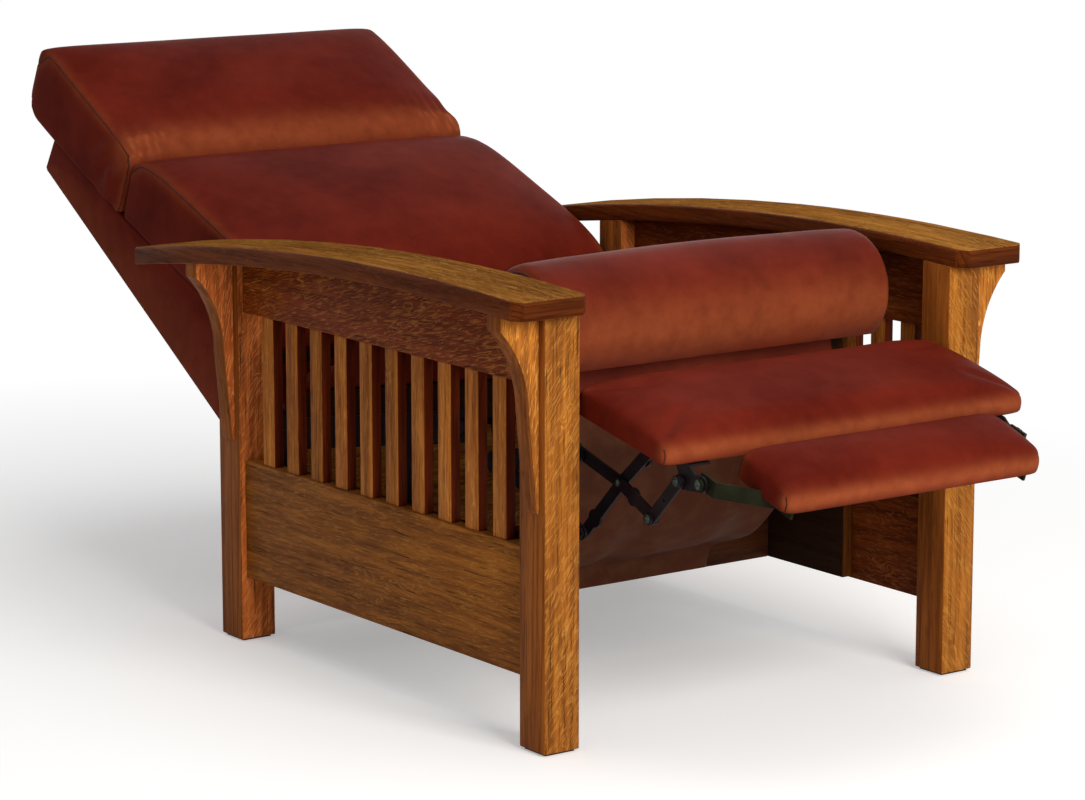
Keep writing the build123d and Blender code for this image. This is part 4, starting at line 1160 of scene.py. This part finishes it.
# The apron's hanging line: shares of the depth and of the drop from the seat to the cross
# rail, and how freely its folds swing there
APRON_LINE = ((0, 0, 0), (0.008, 0.13, 0.3), (0.02, 0.27, 0.5), (0.05, 0.42, 0.8),
              (0.105, 0.568, 1), (0.165, 0.625, 1), (0.25, 0.675, 1), (0.35, 0.73, 1),
              (0.46, 0.776, 1), (0.575, 0.805, 0.9), (0.69, 0.828, 0.7),
              (0.8, 0.848, 0.5), (0.9, 0.871, 0.4), (0.955, 0.893, 0.25),
              (0.97, 0.92, 0.2), (0.99, 0.96, 0.1), (1, 1, 0))


class RECLINER_OT_drop_apron(Operator):
    """Hang the cloth apron between the seat and the front cross rail"""
    bl_idname = "recliner.drop_apron"
    bl_label = "Drop Apron"

    def execute(self, context):
        settings = context.scene.recliner_apron
        half, columns = 0.213, settings.columns
        top = seat_place(0.536, 0.0185)
        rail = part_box("cross_rail_front")[0]
        foot = (rail.y - 0.0012, rail.z)
        rows = stepped(APRON_LINE, 6)
        verts = []
        for run, drop, swing in rows:
            for j in range(columns + 1):
                across = 2 * j / columns - 1
                ripple = (math.sin(across * 7.1 + drop * 3.0) +
                          0.6 * math.sin(across * 13.3 - drop * 5.0 + 1.0))
                push = settings.fold_depth * swing * ripple
                y = top[0] + (foot[0] - top[0]) * run + push * 0.7
                z = top[1] + (foot[1] - top[1]) * drop + push * 0.7
                verts.append((half * across, y, z))
        width = columns + 1
        faces = [(i * width + j, i * width + j + 1, (i + 1) * width + j + 1,
                  (i + 1) * width + j)
                 for i in range(len(rows) - 1) for j in range(columns)]
        piece = new_mesh("drop_apron_cloth", verts, faces)
        modify(piece, "SMOOTH", factor=0.5, iterations=6)
        length = sum(math.dist(verts[i * width], verts[(i + 1) * width])
                     for i in range(len(rows) - 1))
        modify(piece, "SOLIDIFY", thickness=0.0014, offset=0)
        shade_smooth(piece)
        paint(piece, speckle_material("apron_cloth", tuple(settings.colour),
                                      (0.125, 0.042, 0.014), 800, 0.62, 0.35))
        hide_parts("drop_apron")
        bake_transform(piece)
        return {"FINISHED"}


class RECLINER_OT_stage(Operator):
    """Set the floor, the lights and the camera"""
    bl_idname = "recliner.stage"
    bl_label = "Stage"

    def lamp(self, name, place, size, power, colour=(1, 1, 1)):
        """An area light that faces the middle of the chair."""
        light = bpy.data.lights.new(name, "AREA")
        light.shape = "RECTANGLE"
        light.size, light.size_y = size
        light.energy = power
        light.color = colour
        lamp = new_object(name, light)
        lamp.location = place
        aim = Vector((0, 0, 0.4)) - Vector(place)
        lamp.rotation_euler = aim.to_track_quat("-Z", "Y").to_euler()

    def floor(self, colour):
        """A pale floor that the camera sees fade into white around the chair."""
        bpy.ops.mesh.primitive_plane_add(size=80, location=(0, 0, -0.0005))
        floor = bpy.context.object
        floor.name = "floor"
        material, tree, coords = start_material("floor_pale")
        shader = tree.nodes["Principled BSDF"]
        set_inputs(tree, shader, {"Base Color": (*colour, 1), "Roughness": 0.9,
                                  "Specular IOR Level": 0.1})
        seen = add_node(tree, "LightPath").outputs["Is Camera Ray"]
        glow = add_node(tree, "Emission", {"Strength": 1.0}).outputs["Emission"]
        faint = add_node(tree, "Emission", {"Strength": times(tree, seen, 0.30)})
        lift = add_node(tree, "AddShader", {0: shader.outputs["BSDF"],
                                            1: faint.outputs["Emission"]})
        away = add_node(tree, "VectorMath", {
            0: vectors(tree, "MULTIPLY", coords, (1.25, 1.0, 1.0))}, operation="LENGTH")
        edge = remap(tree, away.outputs["Value"], 0.9, 2.3)
        blend = add_node(tree, "MixShader", {
            "Fac": times(tree, edge, seen), 1: lift.outputs["Shader"], 2: glow})
        set_inputs(tree, tree.nodes["Material Output"],
                   {"Surface": blend.outputs["Shader"]})
        floor.data.materials.append(material)

    def sky(self, scene, ambient):
        """A white surround that lights the chair at a strength of its own."""
        world = bpy.data.worlds.new("studio")
        scene.world = world
        world.use_nodes = True
        tree = world.node_tree
        path = add_node(tree, "LightPath").outputs
        seen = sums(tree, "MAXIMUM", path["Is Camera Ray"],
                    sums(tree, "MAXIMUM", path["Is Glossy Ray"],
                         path["Is Transmission Ray"]))
        set_inputs(tree, tree.nodes["Background"], {
            "Color": (1, 1, 1, 1), "Strength": remap(tree, seen, 0, 1, ambient, 1.0)})

    def execute(self, context):
        scene, stage = context.scene, context.scene.recliner_stage
        scene.view_settings.view_transform = "Standard"
        self.floor(stage.floor)
        self.sky(scene, stage.ambient)
        self.lamp("key", (-0.3, -4.1, 2.1), (2.2, 1.6), stage.key_power,
                  (1.0, 0.97, 0.92))
        self.lamp("top", (0.3, -0.4, 3.4), (2.4, 2.4), stage.top_power)
        camera = bpy.data.cameras.new("camera")
        view = new_object("camera", camera)
        yaw, pitch = math.radians(CAMERA_YAW), math.radians(CAMERA_PITCH)
        x, y, z = CAMERA_PLACE
        view.location = (x, y + FRONT, z)
        look = Vector((math.sin(yaw) * math.cos(pitch), math.cos(yaw) * math.cos(pitch),
                       -math.sin(pitch)))
        view.rotation_euler = look.to_track_quat("-Z", "Y").to_euler()
        camera.sensor_width = SENSOR
        camera.lens = PHOTO_FOCAL * SENSOR / PHOTO_WIDTH
        camera.clip_end = 50
        scene.camera = view
        return {"FINISHED"}


class RECLINER_PT_panel(Panel):
    bl_idname = "RECLINER_PT_panel"
    bl_label = "Reclining Armchair"
    bl_space_type = "VIEW_3D"
    bl_region_type = "UI"
    bl_category = "Recliner"

    def draw(self, context):
        for group in ("recliner_oak", "recliner_leather", "recliner_apron",
                      "recliner_stage"):
            box = self.layout.box()
            settings = getattr(context.scene, group)
            for name in settings.__annotations__:
                box.prop(settings, name)
        for step in STEPS:
            self.layout.operator(step.bl_idname)


STEPS = (
    RECLINER_OT_shared_grain,
    RECLINER_OT_oak_frame,
    RECLINER_OT_hidden_wood,
    RECLINER_OT_steel,
    RECLINER_OT_rivets,
    RECLINER_OT_back_shell,
    RECLINER_OT_seat_cushion,
    RECLINER_OT_back_cushion,
    RECLINER_OT_head_pillow,
    RECLINER_OT_footrest_pads,
    RECLINER_OT_drop_apron,
    RECLINER_OT_stage,
)
SETTINGS = {
    "recliner_oak": OakSettings,
    "recliner_leather": LeatherSettings,
    "recliner_apron": ApronSettings,
    "recliner_stage": StageSettings,
}


def register():
    for name, kind in SETTINGS.items():
        bpy.utils.register_class(kind)
        setattr(bpy.types.Scene, name, PointerProperty(type=kind))
    for kind in STEPS + (RECLINER_PT_panel,):
        bpy.utils.register_class(kind)


def unregister():
    for kind in reversed(STEPS + (RECLINER_PT_panel,)):
        bpy.utils.unregister_class(kind)
    for name, kind in SETTINGS.items():
        delattr(bpy.types.Scene, name)
        bpy.utils.unregister_class(kind)


def main():
    register()
    for step in STEPS:
        area, name = step.bl_idname.split(".")
        getattr(getattr(bpy.ops, area), name)()


if __name__ == "__main__":
    main()
